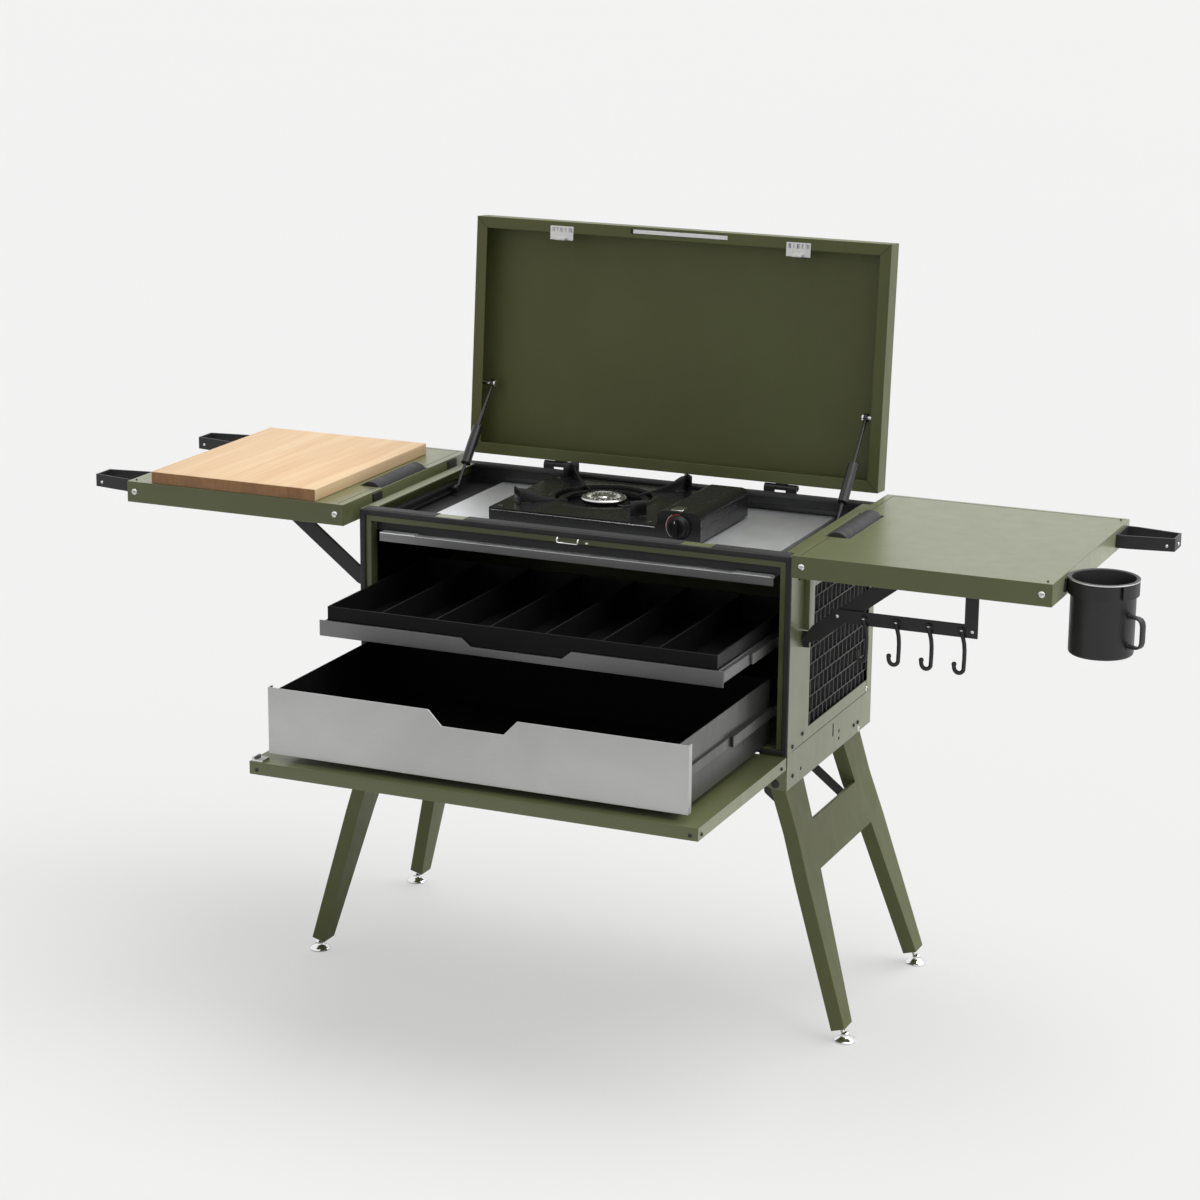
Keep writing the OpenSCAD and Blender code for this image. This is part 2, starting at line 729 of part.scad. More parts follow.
module door_liner() color(olive) difference() {
    union() {
        box([-half_w, door_y0, door_z - liner_t], [half_w, door_axis_y - seam, door_z]);
        for (x = [-door_hinge_x, door_hinge_x]) translate([x, door_axis_y, door_axis_z])
            rod_x(door_knuckle_r, -door_hinge_w / 2, -seam);
    }
    for (x = [-door_hinge_x, door_hinge_x]) translate([x, door_axis_y, door_axis_z]) {
        rod_x(door_pin_r + fit, -door_hinge_w / 2 - 1, 0);
        rod_x(door_knuckle_r + 1, -seam, door_hinge_w / 2 + 1);
    }
}

module door_latch() color(steel) {
    box([-half_w + 3, door_y0 + 2, door_z], [-half_w + 21, door_y0 + 22, door_z + 3]);
    box([-half_w + 3, door_y0 + 2, door_z + 3], [-half_w + 7, door_y0 + 22, door_z + 6]);
}

/* Drawers */

// Notch for the fingers: its width at the top, its width below and its depth
module finger_notch(size, t) translate([0, t + 1, 0]) rotate([90, 0, 0]) linear_extrude(t + 2) {
    top = size[0] / 2;
    low = size[1] / 2;
    polygon([[-top, 1], [top, 1], [top, 0], [low, -size[2]], [-low, -size[2]], [-top, 0]]);
}

module deep_drawer_front() color(steel) difference() {
    union() {
        box([-front_w / 2, deep_y0, deep_z], [front_w / 2, deep_y0 + sheet, deep_z + deep_h]);
        for (s = [-1, 1]) box([min(s * front_w / 2, s * (front_w / 2 - sheet)), deep_y0 + sheet, deep_z],
            [max(s * front_w / 2, s * (front_w / 2 - sheet)), deep_y0 + 12, deep_z + deep_h]);
    }
    translate([0, deep_y0, deep_z + deep_h]) finger_notch(deep_notch, sheet);
}

module deep_drawer_box() color([0.2, 0.2, 0.21]) difference() {
    pan(-drawer_w / 2, drawer_w / 2, deep_y0 + sheet, deep_y0 + deep_l, deep_z, deep_z + deep_h - 1, sheet);
    translate([0, deep_y0 + sheet, deep_z + deep_h - 1]) finger_notch(deep_notch, sheet);
}

// Slide member on the drawer's side
module drawer_member(z, y) both_sides()
    box([drawer_w / 2, y, z - slide_h / 2], [drawer_w / 2 + slide_t, y + slide_l, z + slide_h / 2]);

// Middle slide member, which moves half as far as the drawer
module middle_member(z, pull) {
    x0 = drawer_w / 2 + slide_t + seam;
    y0 = slide_y0 - pull / 2;
    both_sides() box([x0, y0, z - slide_h / 2], [x0 + slide_t, y0 + slide_l, z + slide_h / 2]);
}

module deep_drawer_rails() color(steel) drawer_member(deep_slide_z, deep_y0 + 14);

module deep_drawer_slides() color(steel) middle_member(deep_slide_z, deep_pull);

module cutlery_drawer() color(steel) {
    difference() {
        union() {
            box([-tray_front_w / 2, tray_y0, tray_z], [tray_front_w / 2, tray_y0 + sheet, tray_z + tray_h]);
            pan(-drawer_w / 2, drawer_w / 2, tray_y0 + sheet, tray_y0 + tray_l,
                tray_z, tray_z + tray_h, sheet);
        }
        translate([0, tray_y0, tray_z + tray_h]) finger_notch(tray_notch, 2 * sheet);
    }
}

module cutlery_rails() color(steel) drawer_member(tray_slide_z, tray_y0 + 14);

module cutlery_slides() color(steel) middle_member(tray_slide_z, tray_pull);

insert_gap = 1;
insert_wall = 3;

module cutlery_insert() color(black) {
    x1 = drawer_w / 2 - sheet - insert_gap;
    y0 = tray_y0 + 2 * sheet + insert_gap;
    y1 = tray_y0 + tray_l - sheet - insert_gap;
    z0 = tray_z + sheet;
    pitch = (2 * x1 - insert_wall) / bins;
    difference() {
        box([-x1, y0, z0], [x1, y1, z0 + insert_h]);
        for (i = [0:bins - 1]) box([-x1 + insert_wall + i * pitch, y0 + insert_wall, z0 + 2],
            [-x1 + (i + 1) * pitch, y1 - insert_wall, z0 + insert_h + 1]);
    }
}

/* Legs */

// Centre line of a leg, front or rear, at a height above the floor
function leg_y(top, foot, z) = foot + (top - foot) * (z - leg_end_z) / (floor_z - 46 - leg_end_z);

// Outline of one leg in the frame's plane, or of its hollow when inset by a wall
module leg_outline(axis, top_y, foot_y, side, inset) {
    function down(z) = -(axis[1] - z) / cos(splay);
    knee_z = gusset_z - gusset_h;
    neck_y = leg_y(top_y, foot_y, gusset_z);
    knee_y = leg_y(top_y, foot_y, knee_z);
    near = (side > 0 ? leg_top_w : leg_mid_w) / 2 - inset;
    far = (side < 0 ? leg_top_w : leg_mid_w) / 2 - inset;
    top = rod_r + 5 + (inset > 0 ? 1 : 0);
    top_r = leg_top_w / 2 - inset;
    knee_r = leg_mid_w / 2 - inset;
    foot_w = leg_foot_w / 2 - inset;
    foot_t = down(leg_end_z) + inset;
    polygon([[-(top_y - top_r), top], [-(top_y + top_r), top], [-(neck_y + near), down(gusset_z)],
        [-(knee_y + knee_r), down(knee_z)], [-(foot_y + foot_w), foot_t], [-(foot_y - foot_w), foot_t],
        [-(knee_y - knee_r), down(knee_z)], [-(neck_y - far), down(gusset_z)]]);
}

// Side frame: two tapered box-section legs, open at the top, and a sheet gusset
module leg_plane(axis) {
    function down(z) = -(axis[1] - z) / cos(splay);
    knee = down(gusset_z - gusset_h);
    neck = down(gusset_z);
    y0 = leg_y(leg_front_top, leg_front_foot, gusset_z - gusset_h) + leg_mid_w / 2 - 2;
    y1 = leg_y(leg_rear_top, leg_rear_foot, gusset_z - gusset_h) - leg_mid_w / 2 + 2;
    outer = leg_t / 2;
    color(olive) difference() {
        union() {
            for (p = [[leg_front_top, leg_front_foot, 1], [leg_rear_top, leg_rear_foot, -1]]) difference() {
                translate([outer, 0, 0]) rotate([90, 0, -90]) linear_extrude(leg_t)
                    leg_outline(axis, p[0], p[1], p[2], 0);
                translate([outer - sheet, 0, 0]) rotate([90, 0, -90]) linear_extrude(leg_t - 2 * sheet)
                    leg_outline(axis, p[0], p[1], p[2], sheet);
            }
            box([outer - 3, y0, knee], [outer, y1, neck]);
            for (z = [knee, neck - 3]) box([outer - 6, y0, z], [outer, y1, z + 3]);
        }
        rod_y(rod_r + fit, -1, box_d + 1);
    }
}

module at_leg(axis, side) translate([axis[0], 0, axis[1]]) rotate([0, -side * splay, 0])
    children();

module leg_frame(axis, side) at_leg(axis, side) mirror([side < 0 ? 1 : 0, 0, 0]) leg_plane(axis);

module left_leg_frame() leg_frame(left_axis, -1);

module right_leg_frame() leg_frame(right_axis, 1);

module foot(axis, side, y) color([0.8, 0.8, 0.8]) {
    x = axis[0] + side * axis[1] * tan(splay);
    translate([x, y, 0]) {
        cylinder(r = foot_r, h = 3);
        translate([0, 0, 3]) cylinder(r1 = foot_r, r2 = 5, h = 5);
        translate([0, 0, 8]) cylinder(r = 5, h = 4);
    }
    translate([axis[0], y, axis[1]]) rotate([0, -side * splay, 0])
        translate([0, 0, -axis[1] / cos(splay) + 8]) cylinder(r = 4, h = (leg_end_z - 8) / cos(splay));
}

module feet(axis, side) {
    foot(axis, side, leg_front_foot);
    foot(axis, side, leg_rear_foot);
}

module left_feet() feet(left_axis, -1);

module right_feet() feet(right_axis, 1);

// Edge of a leg towards the frame's middle, at a height above the floor
function leg_edge(i, z) = let (s = i == 0 ? 1 : -1, top = i == 0 ? leg_front_top : leg_rear_top,
    foot = i == 0 ? leg_front_foot : leg_rear_foot, knee_z = gusset_z - gusset_h,
    half = z > gusset_z ? leg_top_w / 2
        : (leg_mid_w + (leg_top_w - leg_mid_w) * (z - knee_z) / gusset_h) / 2)
    leg_y(top, foot, z) + s * half;

function leg_pivot(axis, side) = [axis[0] + side * link_run * sin(splay), axis[1] - link_run * cos(splay)];

// Lower links of the folding stays, pinned to the legs
module leg_links(axis, side, mid) color(black) for (i = [0, 1]) at_link(i) {
    p = leg_pivot(axis, side);
    gap = abs(leg_edge(i, p[1] + link_pin_r) - link_y[i]) - seam;
    link(p, mid, link_w, 0, link_t);
    translate([p[0], 0, p[1]]) rod_y(link_pin_r, -gap, 0);
}

// Upper arms of the folding stays, hinged to lugs under the cabinet
module leg_arms(mid, root) color(black) for (i = [0, 1]) at_link(i) difference() {
    union() {
        link(root, mid, link_w, link_t + seam, link_t - seam);
        translate([mid[0], 0, mid[1]]) rod_y(link_pin_r, 2 * link_t, 2 * link_t + 2);
    }
    translate([root[0], 0, root[1]]) rod_y(arm_pin_r + fit, 0, 2 * link_t + 1);
}

module left_leg_links() leg_links(left_axis, -1, left_mid);

module right_leg_links() leg_links(right_axis, 1, right_mid);

module left_leg_arms() leg_arms(left_mid, left_arm_root);

module right_leg_arms() leg_arms(right_mid, right_arm_root);

/* Stove */

dish_r = 76;
ring_r = 72;
arm_reach = 146;
arm_t = 3;

// Stove tray: a pressed top with a dish for the burner and a bay for the canister
module stove_body() color(black) {
    z = plate_z;
    x1 = stove_x + stove_w;
    difference() {
        cover(stove_x, x1, stove_y, stove_y + stove_d, z + 3, z + stove_h, sheet);
        box([fuel_x - 1, stove_y + fuel_d, z], [x1 + 1, stove_y + stove_d + 1, z + stove_h + 1]);
        box([fuel_x + sheet, stove_y + sheet, z], [x1 - sheet, stove_y + fuel_d - sheet, z + stove_h + 1]);
        translate([burner_x, burner_y, z]) cylinder(r = dish_r, h = stove_h + 1);
    }
    pan(fuel_x, x1, stove_y, stove_y + fuel_d, z + 3, z + stove_h, sheet);
    translate([burner_x, burner_y, z + 8]) difference() {
        cylinder(r = dish_r + sheet, h = stove_h - 8 - sheet);
        translate([0, 0, sheet]) cylinder(r = dish_r, h = stove_h);
    }
    for (x = [stove_x + 12, x1 - 12]) for (y = [stove_y + 12, stove_y + fuel_d - 12])
        translate([x, y, z]) cylinder(r = 8, h = 3);
    for (y = [stove_y + 12, stove_y + fuel_d - 12])
        translate([stove_x + 12, y, z + 3]) cylinder(r = 4, h = stove_h - 5);
}

module pan_support() color(black) translate([burner_x, burner_y, plate_z]) {
    difference() {
        translate([0, 0, 14]) cylinder(r = ring_r, h = 6);
        translate([0, 0, 13]) cylinder(r = ring_r - 12, h = 8);
    }
    for (a = [45:90:315]) rotate(a) translate([0, arm_t / 2, 0]) rotate([90, 0, 0]) linear_extrude(arm_t)
        polygon([[62, 14], [ring_r, 14], [ring_r + 2, stove_h], [arm_reach - 24, stove_h],
            [arm_reach, pan_z - 6], [arm_reach - 4, pan_z], [arm_reach - 12, pan_z - 7],
            [40, pan_z - 8], [34, pan_z - 12], [62, pan_z - 16]]);
}

module burner() color(steel) translate([burner_x, burner_y, plate_z]) {
    translate([0, 0, 8 + sheet]) cylinder(r = 26, h = 8 - sheet);
    translate([0, 0, 16]) cylinder(r = 34, h = 5);
    translate([0, 0, 21]) cylinder(r1 = 34, r2 = 26, h = 5);
}

fuel_pin_r = 1.5;

module fuel_outline(x0, z0, x1, z1, r) union() {
    translate([x0, z0]) square([x1 - x0, z1 - z0 - r]);
    translate([x0 + r, z0]) square([x1 - x0 - 2 * r, z1 - z0]);
    for (x = [x0 + r, x1 - r]) translate([x, z1 - r]) circle(r = r);
}

// Rounded lid over the gas canister, open below
module fuel_cover() color(black) {
    z = plate_z + stove_h + seam;
    r = 11;
    difference() {
        union() {
            translate([0, stove_y + fuel_d, 0]) rotate([90, 0, 0]) linear_extrude(fuel_d)
                fuel_outline(fuel_x, z, stove_x + stove_w, plate_z + fuel_h, r);
            translate([fuel_x - 0.5, 0, z + fuel_pin_r]) rod_y(fuel_pin_r, stove_y, stove_y + fuel_d);
        }
        translate([0, stove_y + fuel_d - 2, 0]) rotate([90, 0, 0]) linear_extrude(fuel_d - 4)
            fuel_outline(fuel_x + 2, z - r - 2, stove_x + stove_w - 2, plate_z + fuel_h - 2, r - 2);
    }
}

knob_z = plate_z + 25;

module stove_knob() color(black)
    translate([knob_x, stove_y - seam, knob_z]) rotate([90, 0, 0]) {
        cylinder(r = knob_r + 3, h = 1);
        cylinder(r = knob_r, h = 12);
        translate([-3, -knob_r + 1, 12]) cube([6, 2 * knob_r - 2, 6]);
    }

place() cabinet_floor();
place() cabinet_back();
place() left_side_panel();
place() right_side_panel();
place() side_meshes();
place() front_frame();
place() front_seal();
place() front_catch();
place() side_aprons();
place() runner_rails();
place() top_tray();
place() cook_plate();
place() hinge_leaves();
place() stay_tracks();
place() leg_rods();
place() lid_shell();
place() lid_fittings();
place() lid_hinge_flaps();
place() left_lid_stay();
place() right_lid_stay();
place() left_wing();
place() left_wing_hinge();
place() left_grip();
place() left_loops();
place() left_brace();
place() right_wing();
place() right_wing_hinge();
place() right_grip();
place() right_loops();
place() right_brace();
place() utensil_rail();
place() utensil_hooks();
place() mug();
place() chopping_board();
place() door_tray();
place() door_liner();
place() door_latch();
place() deep_drawer_front();
place() deep_drawer_box();
place() deep_drawer_rails();
place() deep_drawer_slides();
place() cutlery_drawer();
place() cutlery_rails();
place() cutlery_slides();
place() cutlery_insert();
place() left_leg_frame();
place() left_feet();
place() left_leg_links();
place() left_leg_arms();
place() right_leg_frame();
place() right_feet();
place() right_leg_links();
place() right_leg_arms();
place() stove_body();
place() pan_support();
place() burner();
place() fuel_cover();
place() stove_knob();
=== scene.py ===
import json
import math

import bpy
from bpy.props import FloatProperty, FloatVectorProperty, IntProperty, PointerProperty
from mathutils import Matrix, Vector

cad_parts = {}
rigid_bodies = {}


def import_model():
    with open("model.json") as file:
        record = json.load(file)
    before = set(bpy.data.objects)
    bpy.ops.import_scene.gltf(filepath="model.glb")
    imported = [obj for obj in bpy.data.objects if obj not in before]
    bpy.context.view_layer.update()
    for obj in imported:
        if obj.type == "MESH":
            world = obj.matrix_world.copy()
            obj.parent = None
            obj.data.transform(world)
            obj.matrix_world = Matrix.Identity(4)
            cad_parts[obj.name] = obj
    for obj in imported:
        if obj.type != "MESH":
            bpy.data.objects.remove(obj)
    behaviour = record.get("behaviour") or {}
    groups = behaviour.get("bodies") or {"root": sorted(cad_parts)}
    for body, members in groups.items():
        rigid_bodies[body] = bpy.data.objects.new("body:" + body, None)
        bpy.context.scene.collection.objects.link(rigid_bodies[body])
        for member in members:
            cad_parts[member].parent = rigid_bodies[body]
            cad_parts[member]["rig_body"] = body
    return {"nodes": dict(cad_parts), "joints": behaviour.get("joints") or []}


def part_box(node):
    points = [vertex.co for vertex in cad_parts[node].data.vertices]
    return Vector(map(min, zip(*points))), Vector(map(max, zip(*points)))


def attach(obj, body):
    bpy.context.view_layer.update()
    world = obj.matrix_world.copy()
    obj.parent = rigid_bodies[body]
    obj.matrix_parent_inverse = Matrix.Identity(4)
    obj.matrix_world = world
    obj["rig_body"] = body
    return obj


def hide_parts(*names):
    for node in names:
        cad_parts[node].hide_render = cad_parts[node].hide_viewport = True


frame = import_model()

bl_info = {
    "name": "Camp kitchen box",
    "version": (1, 0, 0),
    "blender": (4, 5, 0),
    "location": "3D View > Sidebar > Kitchen",
    "description": "Dresses the folding camp kitchen box with detailed pieces and finishes",
    "category": "Object",
}

# Places in this file are in millimetres from the middle of the cabinet's front face,
# at floor level: x to the right, y to the rear, z up.
SIDE_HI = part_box("right_side_panel")[1]
ORIGIN = Vector((SIDE_HI.x - 0.350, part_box("front_frame")[0].y, 0.0))
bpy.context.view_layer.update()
CATCH_X = 200  # from the middle to each lid catch
LID_OPEN = 94.5  # degrees that the lid stands open


def at(x, y, z):
    return Vector((x / 1000, y / 1000, z / 1000)) + ORIGIN


def place_of(node):
    """Lowest and highest corner of a CAD node, in this file's millimetres."""
    lo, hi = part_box(node)
    return (lo - ORIGIN) * 1000, (hi - ORIGIN) * 1000


def pivot_of(name):
    """Place of a joint, in this file's millimetres."""
    joint = next(j for j in frame["joints"] if j["name"] == name)
    return (Vector(joint.get("pos_m") or joint["pos"]) - ORIGIN) * 1000


# ---------------------------------------------------------------- finishes


class Finish:
    """A node tree round one Principled shader, read from Object coordinates."""

    def __init__(self, name, colour, roughness, metallic=0.0):
        self.material = bpy.data.materials.new(name)
        self.material.use_nodes = True
        self.nodes = self.material.node_tree.nodes
        self.links = self.material.node_tree.links
        self.shader = self.nodes["Principled BSDF"]
        self.shader.inputs["Base Color"].default_value = (*colour, 1)
        self.shader.inputs["Roughness"].default_value = roughness
        self.shader.inputs["Metallic"].default_value = metallic
        self.colour = colour
        self.coords = self.nodes.new("ShaderNodeTexCoord")

    def noise(self, scale, stretch=(1, 1, 1), detail=3.0, distortion=0.0):
        mapping = self.nodes.new("ShaderNodeMapping")
        mapping.inputs["Scale"].default_value = stretch
        noise = self.nodes.new("ShaderNodeTexNoise")
        noise.inputs["Scale"].default_value = scale
        noise.inputs["Detail"].default_value = detail
        noise.inputs["Distortion"].default_value = distortion
        self.links.new(self.coords.outputs["Object"], mapping.inputs["Vector"])
        self.links.new(mapping.outputs["Vector"], noise.inputs["Vector"])
        return noise.outputs["Fac"]

    def spread(self, value, low, high, cut_low=0.3, cut_high=0.7):
        node = self.nodes.new("ShaderNodeMapRange")
        node.inputs["From Min"].default_value = cut_low
        node.inputs["From Max"].default_value = cut_high
        node.inputs["To Min"].default_value = low
        node.inputs["To Max"].default_value = high
        self.links.new(value, node.inputs["Value"])
        return node.outputs["Result"]

    def mix(self, factor, first, second):
        node = self.nodes.new("ShaderNodeMix")
        node.data_type = "RGBA"
        for socket, value in ((node.inputs[6], first), (node.inputs[7], second)):
            if hasattr(value, "is_output"):
                self.links.new(value, socket)
            else:
                socket.default_value = (*value, 1)
        self.links.new(factor, node.inputs[0])
        return node.outputs[2]

    def tint(self, factor, dark, light):
        """Colour from dark to light multiples of the base colour."""
        low = [c * dark for c in self.colour]
        high = [min(1, c * light) for c in self.colour]
        self.links.new(self.mix(factor, low, high), self.shader.inputs["Base Color"])

    def rough(self, factor, low, high):
        self.links.new(self.spread(factor, low, high), self.shader.inputs["Roughness"])

    def bump(self, height, strength, distance):
        node = self.nodes.new("ShaderNodeBump")
        node.inputs["Strength"].default_value = strength
        node.inputs["Distance"].default_value = distance
        self.links.new(height, node.inputs["Height"])
        self.links.new(node.outputs["Normal"], self.shader.inputs["Normal"])


def powder_coat(name, colour, roughness, grain=0.25, coat=0.0):
    """Baked powder paint: fine orange peel, faint cloudiness and handling marks."""
    finish = Finish(name, colour, roughness)
    finish.shader.inputs["Coat Weight"].default_value = coat
    finish.shader.inputs["Coat Roughness"].default_value = 0.3
    finish.shader.inputs["Sheen Weight"].default_value = coat * 0.75
    finish.shader.inputs["Sheen Roughness"].default_value = 0.35
    finish.shader.inputs["Sheen Tint"].default_value = (0.93, 0.96, 0.74, 1)
    finish.shader.inputs["Coat Tint"].default_value = (0.98, 1.0, 0.90, 1)
    cloud = finish.noise(7, detail=4)
    finish.tint(finish.spread(cloud, 0, 1), 0.93, 1.07)
    rub = finish.noise(38, stretch=(1, 1, 0.4), detail=5, distortion=0.6)
    finish.rough(rub, roughness - 0.05, roughness + 0.08)
    finish.bump(finish.noise(1500, detail=2), grain, 0.0002)
    return finish.material


def brushed(name, colour, roughness, along=(1, 60, 60), marks=0.10):
    """Sheet steel brushed in one direction, with a faint bloom from handling."""
    finish = Finish(name, colour, roughness, 1.0)
    lines = finish.noise(22, stretch=along, detail=6)
    bloom = finish.noise(5, detail=3, distortion=0.8)
    finish.tint(finish.spread(bloom, 0, 1), 0.90, 1.06)
    finish.rough(lines, roughness - marks, roughness + marks)
    finish.bump(lines, 0.16, 0.0001)
    return finish.material


def olive():
    colour = bpy.context.scene.kitchen_finish.olive
    return powder_coat("olive powder coat", tuple(colour), 0.40, 0.22, 0.8)


def olive_satin():
    """The same paint on the lid and legs, with less shine"""
    colour = bpy.context.scene.kitchen_finish.olive
    return powder_coat("olive satin coat", tuple(colour), 0.5, 0.22, 0.05)


def black_coat():
    return powder_coat("black powder coat", tuple(bpy.context.scene.kitchen_finish.black), 0.44, 0.3)


def black_sheet():
    return powder_coat("charcoal sheet", (0.022, 0.023, 0.027), 0.32, 0.1, 0.25)


def plain(name, colour, roughness, rub=None, bump=None, tint=None, metallic=0.0, specular=None):
    """One-colour finish. rub: scale and detail of its noise, lowest and highest roughness;
    bump: scale, detail, strength and depth; tint: scale, detail, darkest and lightest share."""
    finish = Finish(name, colour, roughness, metallic)
    if specular is not None:
        finish.shader.inputs["Specular IOR Level"].default_value = specular
    if tint:
        finish.tint(finish.spread(finish.noise(tint[0], detail=tint[1]), 0, 1), *tint[2:])
    if rub:
        finish.rough(finish.noise(rub[0], detail=rub[1]), *rub[2:])
    if bump:
        finish.bump(finish.noise(bump[0], detail=bump[1]), *bump[2:])
    return finish.material


def steel():
    return brushed("brushed steel", tuple(bpy.context.scene.kitchen_finish.steel), 0.36)


# Darker copy of the brushed steel: painted shade, on the cutlery drawer with its rails and slides, and on
# the cook plate's lip
def painted_shade_steel():
    return brushed("brushed steel in shade", (0.23, 0.23, 0.23), 0.40)


def plate_steel():
    return brushed("cook plate steel", (0.78, 0.79, 0.805), 0.46, along=(50, 1, 50), marks=0.05)


def bright_steel():
    return brushed("bright fittings", (0.72, 0.72, 0.71), 0.20, along=(12, 12, 12), marks=0.05)


def grip_rubber():
    """Rubber with shallow rings round the grip."""
    finish = Finish("ribbed grip rubber", (0.024, 0.024, 0.025), 0.60)
    wave = finish.nodes.new("ShaderNodeTexWave")
    wave.bands_direction = "Y"
    wave.inputs["Scale"].default_value = 60
    finish.links.new(finish.coords.outputs["Object"], wave.inputs["Vector"])
    finish.rough(finish.noise(60, detail=4), 0.52, 0.72)
    finish.bump(wave.outputs["Fac"], 0.35, 0.0004)
    return finish.material


def board_wood(name, light, dark, end_grain):
    """Laminated strips running front to rear, each of its own tone, with fine grain."""
    finish = Finish(name, light, 0.5)
    separate = finish.nodes.new("ShaderNodeSeparateXYZ")
    finish.links.new(finish.coords.outputs["Object"], separate.inputs["Vector"])
    strip = finish.nodes.new("ShaderNodeMath")
    strip.operation = "MULTIPLY"
    strip.inputs[1].default_value = 1000 / bpy.context.scene.kitchen_size.strip
    finish.links.new(separate.outputs["X"], strip.inputs[0])
    whole = finish.nodes.new("ShaderNodeMath")
    whole.operation = "FLOOR"
    finish.links.new(strip.outputs[0], whole.inputs[0])
    tone = finish.nodes.new("ShaderNodeTexWhiteNoise")
    tone.noise_dimensions = "1D"
    finish.links.new(whole.outputs[0], tone.inputs["W"])
    if end_grain:
        fibre = finish.noise(260, stretch=(1.0, 1.0, 0.25), detail=5)
    else:
        fibre = finish.noise(120, stretch=(1.0, 0.035, 1.0), detail=6, distortion=0.4)
    broad = finish.noise(16, stretch=(1.0, 0.12, 1.0), detail=3, distortion=1.0)
    base = finish.mix(finish.spread(tone.outputs["Value"], 0.0, 0.55, 0, 1), light, dark)
    grained = finish.mix(finish.spread(fibre, 0.0, 0.55, 0.45, 0.75), base, dark)
    whole_tone = finish.mix(finish.spread(broad, 0.0, 0.35), grained, dark)
    finish.links.new(whole_tone, finish.shader.inputs["Base Color"])
    finish.rough(fibre, 0.46, 0.62)
    finish.bump(fibre, 0.18, 0.0003)
    return finish.material


def board_top():
    return board_wood("board face grain", (0.90, 0.66, 0.41), (0.74, 0.47, 0.25), False)


def board_end():
    return board_wood("board end grain", (0.40, 0.205, 0.085), (0.25, 0.115, 0.045), True)


PAINTED_SHADE_FLOOR_EDGE = (-3.2, -2.2)  # metres in front, where the floor fades to dark for reflected and bounced rays: painted shade on the object's front faces
GLOW_SHARE = 0.55  # share of its own light that the camera sees in the floor


def floor_white():
    """White floor with some glow for the camera. For reflected and bounced rays it turns dark in front of
    the object, as painted shade on the object's front faces.
    """
    finish = Finish("studio floor", (0.90, 0.90, 0.895), 0.9)
    separate = finish.nodes.new("ShaderNodeSeparateXYZ")
    finish.links.new(finish.coords.outputs["Object"], separate.inputs["Vector"])
    unshaded_floor_share = finish.spread(separate.outputs["Y"], 0, 1, *PAINTED_SHADE_FLOOR_EDGE)
    path = finish.nodes.new("ShaderNodeLightPath")
    white = finish.nodes.new("ShaderNodeMath")
    white.operation = "MAXIMUM"
    finish.links.new(unshaded_floor_share, white.inputs[0])
    finish.links.new(path.outputs["Is Camera Ray"], white.inputs[1])
    cloud = finish.spread(finish.noise(0.4, detail=2), 0, 1)
    sheet = finish.mix(cloud, (0.825, 0.825, 0.822), (0.83, 0.83, 0.827))
    # Near black (0.08) in front of the object for all rays but the camera's: painted shade
    colour = finish.mix(white.outputs[0], (0.08, 0.08, 0.08), sheet)
    finish.links.new(colour, finish.shader.inputs["Base Color"])
    glow = finish.nodes.new("ShaderNodeEmission")
    glow.inputs["Color"].default_value = (0.90, 0.90, 0.895, 1)
    glow.inputs["Strength"].default_value = 1.0
    share = finish.nodes.new("ShaderNodeMath")
    share.operation = "MULTIPLY"
    share.inputs[1].default_value = GLOW_SHARE
    blend = finish.nodes.new("ShaderNodeMixShader")
    finish.links.new(path.outputs["Is Camera Ray"], share.inputs[0])
    finish.links.new(share.outputs[0], blend.inputs[0])
    finish.links.new(finish.shader.outputs[0], blend.inputs[1])
    finish.links.new(glow.outputs[0], blend.inputs[2])
    finish.links.new(blend.outputs[0], finish.nodes["Material Output"].inputs["Surface"])
    return finish.material


